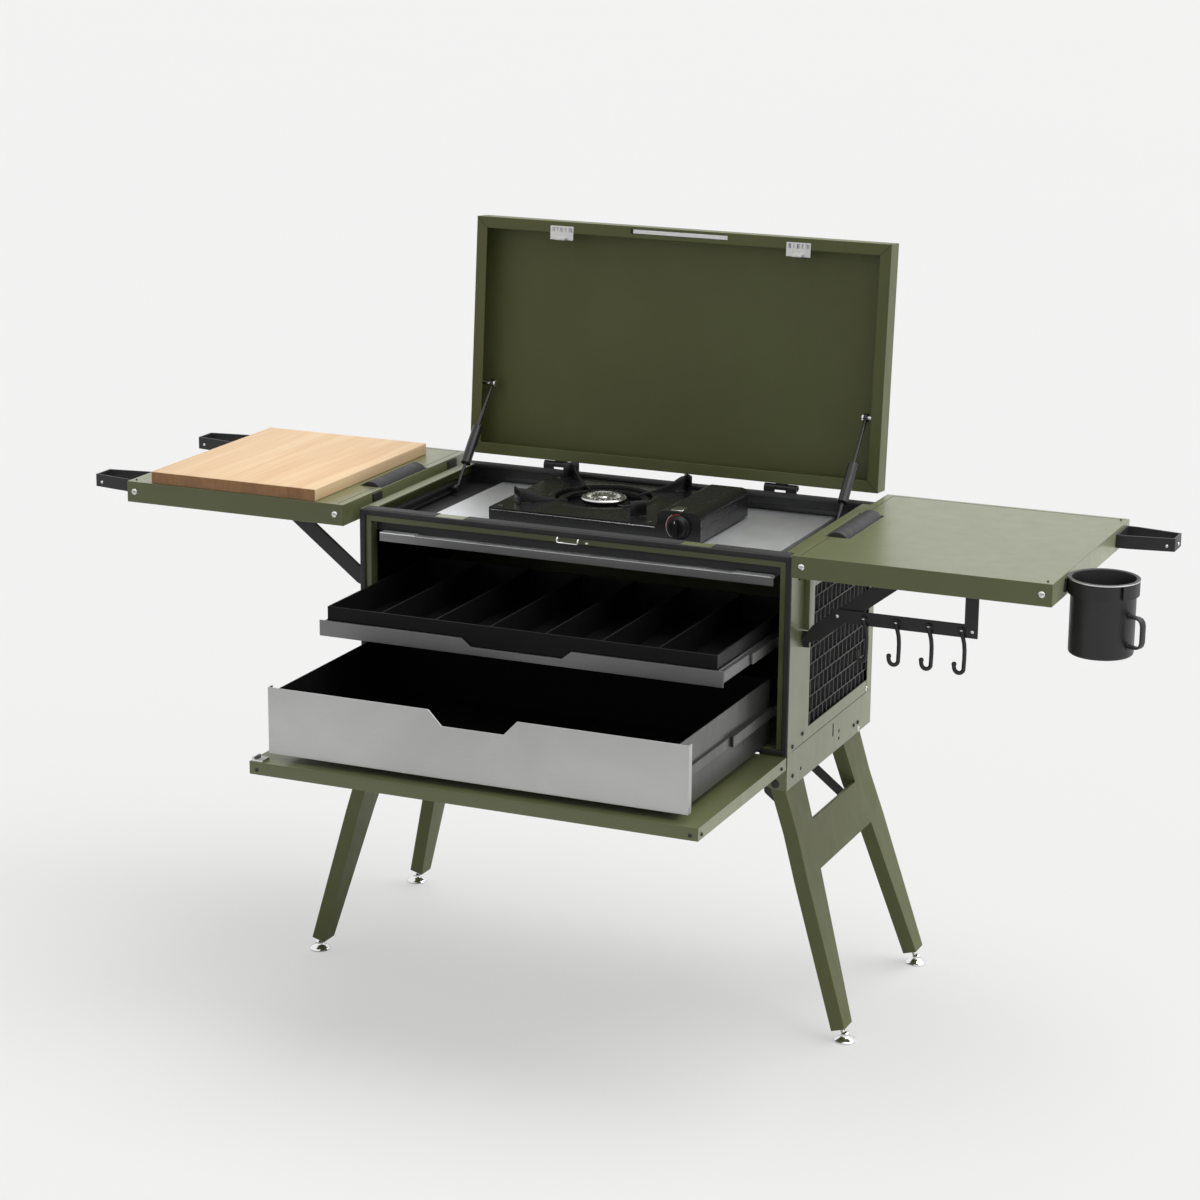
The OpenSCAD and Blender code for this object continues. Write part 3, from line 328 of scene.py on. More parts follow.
MAKERS = {
    "olive": olive, "satin": olive_satin, "black": black_coat, "charcoal": black_sheet,
    "steel": steel, "dim": painted_shade_steel, "plate": plate_steel, "bright": bright_steel,
    "grip": grip_rubber, "board_top": board_top, "board_end": board_end, "floor": floor_white,
}
PLAIN_LOOKS = {
    "gloss": ("gloss black lacquer", (0.012, 0.012, 0.013), 0.22, (80, 4, 0.16, 0.30)),
    "enamel": ("stove enamel", (0.008, 0.008, 0.0085), 0.26, (30, 3, 0.24, 0.29), (900, 2, 0.04, 0.0001)),
    "mug": ("matt mug coating", (0.013, 0.013, 0.013), 0.40, (25, 4, 0.34, 0.48),
            (1800, 2, 0.3, 0.00015)),
    "chrome": ("polished chrome", (0.80, 0.80, 0.81), 0.07, (60, 4, 0.04, 0.13), None, None, 1.0),
    "burner": ("burner cap steel", (0.70, 0.69, 0.67), 0.24, (160, 4, 0.16, 0.36), None,
               (70, 5, 0.72, 1.05), 1.0),
    "rubber": ("black rubber", (0.021, 0.021, 0.022), 0.62, (40, 4, 0.55, 0.74), (1100, 2, 0.25, 0.0002)),
    "plastic": ("moulded black plastic", (0.007, 0.007, 0.0075), 0.38, (45, 4, 0.32, 0.46),
                (900, 3, 0.18, 0.0002), None, 0.0, 0.16),
    # Very dark, matt and low in shine: painted shade, behind the side meshes and inside the deep drawer
    "lining": ("matt black lining", (0.005, 0.005, 0.005), 0.6, (60, 4, 0.5, 0.7),
               (700, 2, 0.1, 0.0002), None, 0.0, 0.1),
    "pale": ("pale plastic", (0.66, 0.66, 0.64), 0.42, None, (600, 2, 0.1, 0.0002), (20, 3, 0.95, 1.03)),
    # Near black for slots, seams, grooves, vents and the keyhole: painted shade
    "recess": ("dark recess", (0.008, 0.008, 0.007), 0.8, (90, 3, 0.7, 0.9)),
    "red": ("red dial mark", (0.45, 0.02, 0.012), 0.5, None, None, (300, 3, 0.9, 1.05)),
    "white": ("white dial mark", (0.75, 0.75, 0.73), 0.5, None, None, (300, 3, 0.9, 1.05)),
}
made = {}


def finish(name):
    if name not in made:
        made[name] = plain(*PLAIN_LOOKS[name]) if name in PLAIN_LOOKS else MAKERS[name]()
    return made[name]


# ------------------------------------------------------------ hand tools


def deselect():
    if bpy.context.object and bpy.context.object.mode != "OBJECT":
        bpy.ops.object.mode_set(mode="OBJECT")
    bpy.ops.object.select_all(action="DESELECT")


def pick(piece):
    deselect()
    piece.select_set(True)
    bpy.context.view_layer.objects.active = piece


def settle(piece):
    """Moves a piece's place, turn and size into its mesh."""
    pick(piece)
    bpy.ops.object.transform_apply(location=True, rotation=True, scale=True)


def modify(piece, kind, **values):
    pick(piece)
    modifier = piece.modifiers.new(kind.title(), kind)
    for key, value in values.items():
        setattr(modifier, key, value)
    bpy.ops.object.modifier_apply(modifier=modifier.name)


def bevel(piece, width, segments=2, angle=40):
    modify(piece, "BEVEL", width=width / 1000, segments=segments, limit_method="ANGLE",
           angle_limit=math.radians(angle), use_clamp_overlap=True)


def smooth(piece, angle=38):
    pick(piece)
    bpy.ops.object.shade_smooth_by_angle(angle=math.radians(angle))


def outward(piece):
    pick(piece)
    bpy.ops.object.mode_set(mode="EDIT")
    bpy.ops.mesh.select_all(action="SELECT")
    bpy.ops.mesh.remove_doubles(threshold=0.00002)
    bpy.ops.mesh.normals_make_consistent(inside=False)
    bpy.ops.object.mode_set(mode="OBJECT")


def complete(piece, name, look, body, angle=38):
    """Names a finished piece, gives it its finish and hangs it on its body."""
    settle(piece)
    piece.name = name
    piece.data.name = name
    if look:
        piece.data.materials.clear()
        piece.data.materials.append(finish(look))
    smooth(piece, angle)
    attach(piece, body)
    deselect()
    return piece


def block(lo, hi, edge=0.0, segments=2):
    lo, hi = at(*lo), at(*hi)
    deselect()
    bpy.ops.mesh.primitive_cube_add(size=1, location=(lo + hi) / 2)
    piece = bpy.context.object
    piece.scale = hi - lo
    settle(piece)
    if edge:
        bevel(piece, edge, segments)
    return piece


def turned(profile, steps=48, ring=False):
    """A solid of revolution about z: a disc is pushed up and resized from ring to ring.
    The profile is a list of radius and height in mm, and may come back down inside.
    A ring's profile ends where it began, and its two end discs are taken out."""
    deselect()
    radius, height = profile[0]
    bpy.ops.mesh.primitive_circle_add(vertices=steps, radius=radius / 1000, fill_type="NGON",
                                      location=(0, 0, height / 1000))
    piece = bpy.context.object
    settle(piece)
    bpy.ops.object.mode_set(mode="EDIT")
    bpy.ops.mesh.select_all(action="SELECT")
    for next_radius, next_height in profile[1:]:
        bpy.ops.mesh.extrude_region_move(
            TRANSFORM_OT_translate={"value": (0, 0, (next_height - height) / 1000)})
        factor = next_radius / radius
        bpy.ops.transform.resize(value=(factor, factor, 1), center_override=(0, 0, next_height / 1000))
        radius, height = next_radius, next_height
    if ring:
        bpy.ops.mesh.select_all(action="DESELECT")
        bpy.ops.mesh.select_face_by_sides(number=4, type="GREATER")
        bpy.ops.mesh.delete(type="ONLY_FACE")
    bpy.ops.object.mode_set(mode="OBJECT")
    outward(piece)
    return piece


def line_of(points, closed=False, **values):
    """A curve of straight runs through places in metres, on an object of its own."""
    curve = bpy.data.curves.new("line", "CURVE")
    for key, value in values.items():
        setattr(curve, key, value)
    spline = curve.splines.new("POLY")
    spline.points.add(len(points) - 1)
    for point, place in zip(spline.points, points):
        point.co = (*place, 1)
    spline.use_cyclic_u = closed
    piece = bpy.data.objects.new("line", curve)
    bpy.context.collection.objects.link(piece)
    pick(piece)
    return piece


def meshed():
    bpy.ops.object.convert(target="MESH")
    return bpy.context.object


def plate_outline(points, thickness):
    """Flat plate in the x-z plane, cut to an outline of x and z in mm, at the world's origin."""
    piece = line_of([(x / 1000, z / 1000, 0) for x, z in points], True,
                    dimensions="2D", fill_mode="BOTH", extrude=thickness / 2000)
    piece.rotation_euler = (math.radians(90), 0, 0)
    piece = meshed()
    settle(piece)
    outward(piece)
    return piece


def duplicate(piece):
    copy = bpy.data.objects.new(piece.name, piece.data.copy())
    bpy.context.collection.objects.link(copy)
    return copy


def stand(piece, place, direction=(0, 0, 1)):
    """Moves a piece made at the world's origin to its place, with its z along a direction."""
    turn = Vector((0, 0, 1)).rotation_difference(Vector(direction)).to_matrix().to_4x4()
    piece.data.transform(Matrix.Translation(at(*place)) @ turn)
    return piece


def copies(master, spots):
    """Copies a piece to each place and direction, joins the copies and drops the master."""
    pieces = [stand(duplicate(master), place, direction) for place, direction in spots]
    bpy.data.objects.remove(master)
    return joined(pieces)


def round_about(master, centre, angles):
    """Copies a piece that is made at the world's origin round a vertical axis."""
    pieces = []
    for angle in angles:
        copy = duplicate(master)
        copy.data.transform(Matrix.Translation(at(*centre)) @ Matrix.Rotation(math.radians(angle), 4, "Z"))
        pieces.append(copy)
    bpy.data.objects.remove(master)
    return pieces


def loose_block(lo, hi, edge, segments=2):
    """A block whose corners count from the world's origin."""
    piece = block(lo, hi, edge, segments)
    piece.data.transform(Matrix.Translation(-ORIGIN))
    return piece


def joined(pieces):
    deselect()
    for piece in pieces:
        piece.select_set(True)
    bpy.context.view_layer.objects.active = pieces[0]
    bpy.ops.object.join()
    return bpy.context.object


def wire(points, radius, round_steps=4):
    """Round bar along a line of points, made as a curve and turned into a mesh."""
    line_of([at(*place) for place in points], dimensions="3D", bevel_depth=radius / 1000,
            bevel_resolution=round_steps, use_fill_caps=True)
    piece = meshed()
    outward(piece)
    return piece


WINDOW_CUT = 42  # slant of a side window's upper corners, in mm
WINDOW_DRAWN = 33  # part of it that the real window doesn't have


def square_window(piece):
    """Draws the cut upper corners of a side window out to small ones."""
    lo, hi = place_of("side_meshes")
    y0, y1, top = lo.y + 8, hi.y - 8, hi.z - 8
    for vertex in piece.data.vertices:
        place = (vertex.co - ORIGIN) * 1000
        for edge, step in ((y0, 1), (y1, -1)):
            if abs(place.y - edge) < 1 and abs(place.z - top + WINDOW_CUT) < 1:
                vertex.co.z += WINDOW_DRAWN / 1000
            if abs(place.y - edge - step * WINDOW_CUT) < 1 and abs(place.z - top) < 1:
                vertex.co.y -= step * WINDOW_DRAWN / 1000


def rounded_copy(node, edge, look, segments=2):
    """Sheet part with its folded edges rounded, made from a merged copy of the CAD node."""
    source = frame["nodes"][node]
    piece = bpy.data.objects.new(node + "_rounded", source.data.copy())
    bpy.context.collection.objects.link(piece)
    pick(piece)
    if piece.data.has_custom_normals:
        bpy.ops.mesh.customdata_custom_splitnormals_clear()
    bpy.ops.object.mode_set(mode="EDIT")
    bpy.ops.mesh.select_all(action="SELECT")
    bpy.ops.mesh.remove_doubles(threshold=0.00001)
    bpy.ops.mesh.dissolve_limited(angle_limit=math.radians(0.8))
    bpy.ops.object.mode_set(mode="OBJECT")
    if node in ("left_side_panel", "right_side_panel"):
        square_window(piece)
    bevel(piece, edge, segments)
    body = source["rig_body"]
    complete(piece, node + "_rounded", look, body, 40)
    modify(piece, "WEIGHTED_NORMAL", keep_sharp=True, weight=100)
    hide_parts(node)
    deselect()
    return piece


# -------------------------------------------------------------- settings


class KITCHEN_PG_finish(bpy.types.PropertyGroup):
    olive: FloatVectorProperty(name="Olive", description="Colour of the olive powder coat",
                               subtype="COLOR", default=(0.103, 0.114, 0.034), min=0, max=1)
    black: FloatVectorProperty(name="Black", description="Colour of the black powder coat",
                               subtype="COLOR", default=(0.016, 0.016, 0.017), min=0, max=1)
    steel: FloatVectorProperty(name="Steel", description="Colour of the brushed steel",
                               subtype="COLOR", default=(0.52, 0.52, 0.515), min=0, max=1)


class KITCHEN_PG_size(bpy.types.PropertyGroup):
    cell_w: FloatProperty(name="Mesh cell width", description="Width of a cell of the side mesh, in mm",
                          default=18.0, min=8, max=40)
    cell_h: FloatProperty(name="Mesh cell height", description="Height of a cell of the side mesh, in mm",
                          default=23.0, min=6, max=30)
    screw: FloatProperty(name="Screw head", description="Radius of the pan-head screws, in mm",
                         default=5.0, min=2, max=8)
    strip: FloatProperty(name="Board strip", description="Width of the board's glued strips, in mm",
                         default=26.0, min=10, max=60)
    ribs: IntProperty(name="Cover ribs", description="Number of ribs on the canister cover",
                      default=9, min=0, max=20)


class KITCHEN_PG_stage(bpy.types.PropertyGroup):
    lens: FloatProperty(name="Lens", description="Focal length of the camera, in mm",
                        default=91.5, min=20, max=300)
    key: FloatProperty(name="Key light", description="Strength of the light from the right",
                       default=0.45, min=0, max=10)
    top: FloatProperty(name="Top light", description="Strength of the light from above",
                       default=2.15, min=0, max=10)
    fill: FloatProperty(name="Fill", description="Strength of the light from all round",
                        default=0.30, min=0, max=3)


# ------------------------------------------------------------- operators

ROUNDED = [
    # node, edge radius in mm, finish
    ("cabinet_back", 0.6, "olive"), ("left_side_panel", 0.6, "olive"),
    ("right_side_panel", 0.6, "olive"), ("front_frame", 0.6, "olive"),
    ("side_aprons", 0.6, "olive"), ("lid_shell", 0.8, "satin"), ("left_wing", 0.8, "olive"),
    ("right_wing", 0.8, "olive"), ("door_tray", 0.8, "olive"), ("door_liner", 0.5, "olive"),
    ("left_leg_frame", 1.2, "satin"), ("right_leg_frame", 1.2, "satin"),
    ("top_tray", 0.5, "black"), ("cook_plate", 0.6, "plate"),
    ("deep_drawer_front", 0.6, "steel"), ("deep_drawer_box", 0.6, "charcoal"),
    # dim: the darker copy of the brushed steel, painted shade
    ("cutlery_drawer", 0.6, "dim"), ("cutlery_insert", 1.0, "plastic"),
    ("left_loops", 0.7, "black"), ("right_loops", 0.7, "black"),
    ("left_brace", 1.0, "black"), ("right_brace", 1.0, "black"),
    ("utensil_rail", 0.8, "black"), ("stove_body", 0.6, "enamel"),
    ("fuel_cover", 0.8, "enamel"),
    ("left_lid_stay", 0.5, "gloss"), ("right_lid_stay", 0.5, "gloss"),
    ("lid_hinge_flaps", 0.4, "black"), ("left_leg_links", 0.7, "black"),
    ("left_leg_arms", 0.7, "black"), ("right_leg_links", 0.7, "black"),
    ("right_leg_arms", 0.7, "black"), ("door_latch", 0.5, "bright"),
    ("lid_fittings", 0.2, "bright"),
    ("deep_drawer_rails", 0.8, "charcoal"), ("deep_drawer_slides", 0.8, "charcoal"),
    # dim: painted shade, as on the cutlery drawer
    ("cutlery_rails", 0.8, "dim"), ("cutlery_slides", 0.8, "dim"),
]

PLAIN = {
    "cabinet_floor": "olive", "runner_rails": "charcoal", "hinge_leaves": "black",
    "stay_tracks": "black", "leg_rods": "black", "left_wing_hinge": "black",
    "right_wing_hinge": "black", "side_meshes": "black", "front_seal": "rubber",
    "left_grip": "grip", "right_grip": "grip", "mug": "mug", "utensil_hooks": "black",
    "chopping_board": "board_top", "left_feet": "chrome", "right_feet": "chrome",
    "front_catch": "bright", "burner": "burner", "stove_knob": "plastic", "pan_support": "enamel",
}


class KITCHEN_OT_finishes(bpy.types.Operator):
    """Gives every CAD node its painted, brushed or moulded finish"""
    bl_idname = "kitchen.finishes"
    bl_label = "Finishes of the frame"

    def execute(self, context):
        looks = dict(PLAIN)
        looks.update((node, look) for node, _, look in ROUNDED)
        for node, piece in frame["nodes"].items():
            for slot in piece.material_slots:
                slot.material = finish(looks[node])
        return {"FINISHED"}


class KITCHEN_OT_rounded_sheet(bpy.types.Operator):
    """Rounds the folded edges of the sheet-steel and moulded parts"""
    bl_idname = "kitchen.rounded_sheet"
    bl_label = "Rounded sheet parts"

    def execute(self, context):
        for node, edge, look in ROUNDED:
            rounded_copy(node, edge, look)
        return {"FINISHED"}


class KITCHEN_OT_plate_lip(bpy.types.Operator):
    """Gives the lip in front of the cook plate the darker copy of the brushed steel, as painted shade"""
    bl_idname = "kitchen.plate_lip"
    bl_label = "Lip of the cook plate"

    def execute(self, context):
        plate = bpy.data.objects["cook_plate_rounded"]
        plate.data.materials.append(finish("dim"))
        front = at(0, 22, 0).y
        for face in plate.data.polygons:
            # Faces of the lip, in front of and below the plate, get the painted shade
            if face.center.y < front and face.center.z < 0.7035:
                face.material_index = 1
        return {"FINISHED"}


class KITCHEN_OT_drawer_inside(bpy.types.Operator):
    """Gives the inside of the deep drawer a matt black finish, as painted shade in its cavity"""
    bl_idname = "kitchen.drawer_inside"
    bl_label = "Inside of the deep drawer"

    def execute(self, context):
        box = bpy.data.objects["deep_drawer_box_rounded"]
        box.data.materials.append(finish("lining"))
        lo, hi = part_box("deep_drawer_box")
        for face in box.data.polygons:
            c = face.center
            edge = min(c.x - lo.x, hi.x - c.x, c.y - lo.y, hi.y - c.y)
            # Faces more than 1.2 mm in from the outer sides, the inner walls and the floor, get the black of
            # painted shade
            if edge > 0.0012:
                face.material_index = 1
        return {"FINISHED"}


class KITCHEN_OT_seal(bpy.types.Operator):
    """Rubber edging round the cabinet's front and over the well's front and rear rims"""
    bl_idname = "kitchen.seal"
    bl_label = "Seals"

    def execute(self, context):
        rounded_copy("front_seal", 1.8, "rubber", 4)
        lo, hi = place_of("front_frame")
        back_hi = place_of("cabinet_back")[1]
        spans = [(lo.x + 2, -CATCH_X - 24), (24 - CATCH_X, CATCH_X - 24), (CATCH_X + 24, hi.x - 2)]
        front = [block((a, lo.y, hi.z), (b, hi.y + 1, hi.z + 0.5), 0.2) for a, b in spans]
        drop = [block((a, hi.y, hi.z - 12), (b, hi.y + 1, hi.z + 0.4), 0.2) for a, b in spans]
        rear = block((lo.x + 2, back_hi.y - 18.6, hi.z), (hi.x - 2, back_hi.y - 1, hi.z + 0.5), 0.2)
        wall = block((lo.x + 2, back_hi.y - 3.4, hi.z - 26), (hi.x - 2, back_hi.y - 2.1, hi.z - 2.2), 0.3)
        lip = block((lo.x + 2, back_hi.y - 19, hi.z - 4), (hi.x - 2, back_hi.y - 18, hi.z + 0.4), 0.3)
        complete(joined(front + drop + [rear, wall, lip]), "well_edging", "rubber", "cabinet")
        return {"FINISHED"}


class KITCHEN_OT_catch(bpy.types.Operator):
    """Staple of the door's catch on the front frame, with its rivet"""
    bl_idname = "kitchen.catch"
    bl_label = "Door catch"

    def execute(self, context):
        lo, hi = place_of("front_catch")
        y, z = lo.y + 1.3, (lo.z + hi.z) / 2
        staple = wire([(-16.5, hi.y, z + 5), (-16.8, y + 1.5, z + 4.6), (-16.8, y, z + 3), (-16.8, y, z - 1),
                       (-15.8, y, z - 2), (15.8, y, z - 2), (16.8, y, z - 1), (16.8, y, z + 3),
                       (16.8, y + 1.5, z + 4.6), (16.5, hi.y, z + 5)], 1.3)
        foot = turned([(2.4, 0), (2.4, 0.6), (1.6, 1.2)], 16)
        stand(foot, (27, 0, z - 2), (0, -1, 0))
        piece = complete(joined([staple, foot]), "catch_staple", "bright", "cabinet")
        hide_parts("front_catch")
        return {"FINISHED"}


class KITCHEN_OT_side_details(bpy.types.Operator):
    """Matt black sheets behind the meshes as painted shade, brace lugs, the seam and keyhole of each side
    drawn dark as painted shade, and its bolts
    """
    bl_idname = "kitchen.side_details"
    bl_label = "Side details"

    def execute(self, context):
        shade_sheets, dark, lugs, bolts = [], [], [], []
        for s in (-1, 1):
            def across(a, b, lo_y, hi_y, lo_z, hi_z, edge=0.1, s=s):
                x0, x1 = sorted((s * a, s * b))
                return block((x0, lo_y, lo_z), (x1, hi_y, hi_z), edge, 1)
            # Matt black sheet behind the mesh: painted shade inside the cabinet
            shade_sheets.append(across(344.5, 345.3, 24, 372, 446, 700))
            # Thin dark marks for the seam, the keyhole and a short upright line: painted shade
            dark.append(across(349.9, 350.12, 22, 366, 440.2, 441.0, 0))
            dark.append(across(349.9, 350.15, 199.5, 204.5, 412, 432))
            dark.append(across(349.9, 350.15, 353.6, 355.2, 447, 462, 0))
            lug = across(349.8, 359.4, 53, 75, 618, 712)
            bevel(lug, 4.0, 3)
            lugs.append(lug)
            out = (s, 0, 0)
            bolts += [((s * 350, 355, 446), out), ((s * 350, 322, 390), out)]
        complete(joined(shade_sheets), "side_shade_sheets", "lining", "cabinet")
        complete(joined(dark), "side_seams", "recess", "cabinet")
        complete(joined(lugs), "brace_lugs", "olive", "cabinet")
        complete(copies(screw_master(4.6), bolts), "side_bolts", "bright", "cabinet")
        return {"FINISHED"}


class KITCHEN_OT_side_meshes(bpy.types.Operator):
    """Expanded-metal meshes behind the side windows, in staggered cells"""
    bl_idname = "kitchen.side_meshes"
    bl_label = "Side meshes"

    def execute(self, context):
        size = context.scene.kitchen_size
        lo, hi = place_of("side_meshes")
        columns = int((hi.y - lo.y - 2) / size.cell_w)
        rows = int((hi.z - lo.z - 2) / size.cell_h)
        pitch = (hi.y - lo.y - 2) / columns
        rise = (hi.z - lo.z - 2) / rows
        sheets = []
        for side, face in ((1, hi.x), (-1, lo.x)):
            near, far = sorted((face - side * 0.3, face - side * 1.9))
            parts = []
            for row in range(rows + 1):
                z = lo.z + row * rise
                parts.append(block((near, lo.y, z), (far, hi.y, z + 1.5), 0.3, 1))
            first = block((near, lo.y, lo.z), (far, lo.y + 1.5, lo.z + rise), 0.3, 1)
            for row in range(rows):
                shift = pitch / 2 if row % 2 else 0
                for column in range(columns + (0 if row % 2 else 1)):
                    copy = duplicate(first)
                    copy.data.transform(Matrix.Translation(
                        (0, (column * pitch + shift) / 1000, row * rise / 1000)))
                    parts.append(copy)
            bpy.data.objects.remove(first)
            sheets.append(joined(parts))
        piece = complete(joined(sheets), "side_mesh_cells", "charcoal", "cabinet")
        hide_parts("side_meshes")
        return {"FINISHED"}


def screw_master(radius):
    piece = turned([(radius, 0), (radius, 0.5), (radius * 0.92, 1.1), (radius * 0.7, 1.7),
                    (radius * 0.45, 1.95), (radius * 0.36, 1.95), (radius * 0.34, 1.0)], 24)
    piece.name = "screw"
    return piece


class KITCHEN_OT_screws(bpy.types.Operator):
    """Pan-head screws and rivets on the wings, door, rail, loops, aprons and legs"""
    bl_idname = "kitchen.screws"
    bl_label = "Screws and rivets"

    def execute(self, context):
        size = context.scene.kitchen_size.screw
        front, back = (0, -1, 0), (0, 1, 0)
        wing_lo, wing_hi = place_of("right_wing")
        z = wing_lo.z + 17
        left_lo, left_hi = place_of("left_wing")
        wing_screws = {
            "right_wing": [((wing_lo.x + 15, wing_lo.y, z), front), ((wing_hi.x - 15, wing_lo.y, z), front),
                           ((wing_lo.x + 15, wing_hi.y, z), back), ((wing_hi.x - 15, wing_hi.y, z), back)],
            "left_wing": [((left_lo.x + 13, left_lo.y, z), front), ((left_hi.x - 15, left_lo.y, z), front),
                          ((left_lo.x + 13, left_hi.y, z), back), ((left_hi.x - 15, left_hi.y, z), back)],
        }
        for body, spots in wing_screws.items():
            complete(copies(screw_master(size), spots), body + "_screws", "bright", body)
        lo, hi = place_of("door_tray")
        z = (lo.z + hi.z) / 2 - 1
        door = [((lo.x + 12, lo.y, z), front), ((hi.x - 12, lo.y, z), front),
                ((lo.x, lo.y + 12, z), (-1, 0, 0)), ((hi.x, lo.y + 12, z), (1, 0, 0)),
                ((hi.x, hi.y - 20, z), (1, 0, 0)), ((lo.x, hi.y - 20, z), (-1, 0, 0))]
        complete(copies(screw_master(size * 0.6), door), "door_screws", "black", "door")
        lo, hi = place_of("utensil_rail")
        rail = [((x, lo.y, lo.z + 10), front) for x in (lo.x + 7, hi.x - 8)]
        complete(copies(screw_master(3), rail), "rail_rivets", "bright", "right_wing")
        reach = left_lo.x - place_of("left_loops")[0].x
        for body, node, tip, out, rows in (
                ("left_wing", "left_loops", left_lo.x - reach, -1, (30, 345)),
                ("right_wing", "right_loops", wing_hi.x + reach, 1, (345,))):
            z = place_of(node)[0].z + 8
            spots = []
            for y in rows:
                spots.append(((tip - out * 12, y - 21.2, z), (out * 0.17, -0.985, 0)))
                spots.append(((tip, y, z), (out, 0, 0)))
            complete(copies(screw_master(2.6), spots), node + "_rivets", "bright", body)
        side = []
        for x, out in ((350, (1, 0, 0)), (-350, (-1, 0, 0))):
            side += [((x, 62, 456), out), ((x, 356, 446), out), ((x, 20, 448), out),
                     ((x, 300, 402), out), ((x, 318, 402), out), ((x, 24, 402), out)]
        complete(copies(screw_master(3.2), side), "side_screws", "black", "cabinet")
        rods = []
        for name in ("left_legs", "right_legs"):
            hub = pivot_of(name + "_fold")
            rods += [((hub.x, 0, hub.z), front), ((hub.x, 380, hub.z), back)]
        complete(copies(screw_master(6.5), rods), "rod_bolts", "black", "cabinet")
        return {"FINISHED"}


class KITCHEN_OT_wing_seams(bpy.types.Operator):
    """Folded seams drawn as dark lines of painted shade, and small corner rivets on the wings' faces"""
    bl_idname = "kitchen.wing_seams"
    bl_label = "Wing seams"

    def execute(self, context):
        for body, s in (("left_wing", -1), ("right_wing", 1)):
            lo, hi = place_of(body)
            inner = hi.x if s < 0 else lo.x
            outer = lo.x if s < 0 else hi.x
            z = hi.z

            def line(x0, y0, x1, y1):
                a, b = sorted((x0, x1))
                return block((a, y0, z - 0.2), (b, y1, z + 0.12))
            x = inner + s * 12
            seams = [line(x, lo.y + 6, x + s * 0.9, lo.y + 126), line(x, lo.y + 294, x + s * 0.9, hi.y - 8),
                     line(inner + s * 12, hi.y - 9, outer - s * 4, hi.y - 8.1)]
            complete(joined(seams), body + "_seams", "recess", body)
            spots = [((outer - s * 10, y, z), (0, 0, 1)) for y in (lo.y + 12, hi.y - 14)]
            complete(copies(screw_master(1.6), spots), body + "_face_rivets", "black", body)
        return {"FINISHED"}


class KITCHEN_OT_hooks(bpy.types.Operator):
    """Four forged hooks riveted to the utensil rail, each with a curled, knobbed tip"""
    bl_idname = "kitchen.hooks"
    bl_label = "Utensil hooks"

    def execute(self, context):
        rail = place_of("utensil_rail")[0]
        y, z = rail.y - 2.9, rail.z + 10
        pieces, rivets = [], []
        for index in range(4):
            x = rail.x + 48 + index * 49
            points = [(x, y, z), (x + 1, y, z - 5), (x + 3, y - 0.3, z - 10), (x + 5, y - 0.6, z - 18),
                      (x + 6, y - 0.8, z - 28), (x + 6, y - 0.8, z - 41), (x + 5.6, y - 0.6, z - 50)]
            points += [(x - 1.6 + 7.2 * math.cos(a), y, z - 54 + 8 * math.sin(a))
                       for a in [math.radians(-18 * k) for k in range(1, 10)]]
            points += [(x - 9.2, y, z - 53), (x - 9.0, y, z - 50)]
            bar = wire(points, 3.1)
            tip = turned([(0.6, -3.6), (2.6, -2.8), (3.7, -1.0), (3.7, 0.6), (2.8, 2.6), (0.8, 3.6)], 20)
            stand(tip, (x - 9.0, y, z - 49.6))
            tab = turned([(4.8, 0), (5.2, 0.4), (5.2, 2.6), (4.6, 3.2)], 28)
            stand(tab, (x, rail.y - 0.05, z), (0, -1, 0))
            pieces += [bar, tip, tab]
            rivets.append(((x, rail.y - 3.2, z), (0, -1, 0)))
        hooks = complete(joined(pieces), "forged_hooks", "black", "right_wing")
        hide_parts("utensil_hooks")
        complete(copies(screw_master(2.7), rivets), "hook_rivets", "bright", "right_wing")
        return {"FINISHED"}


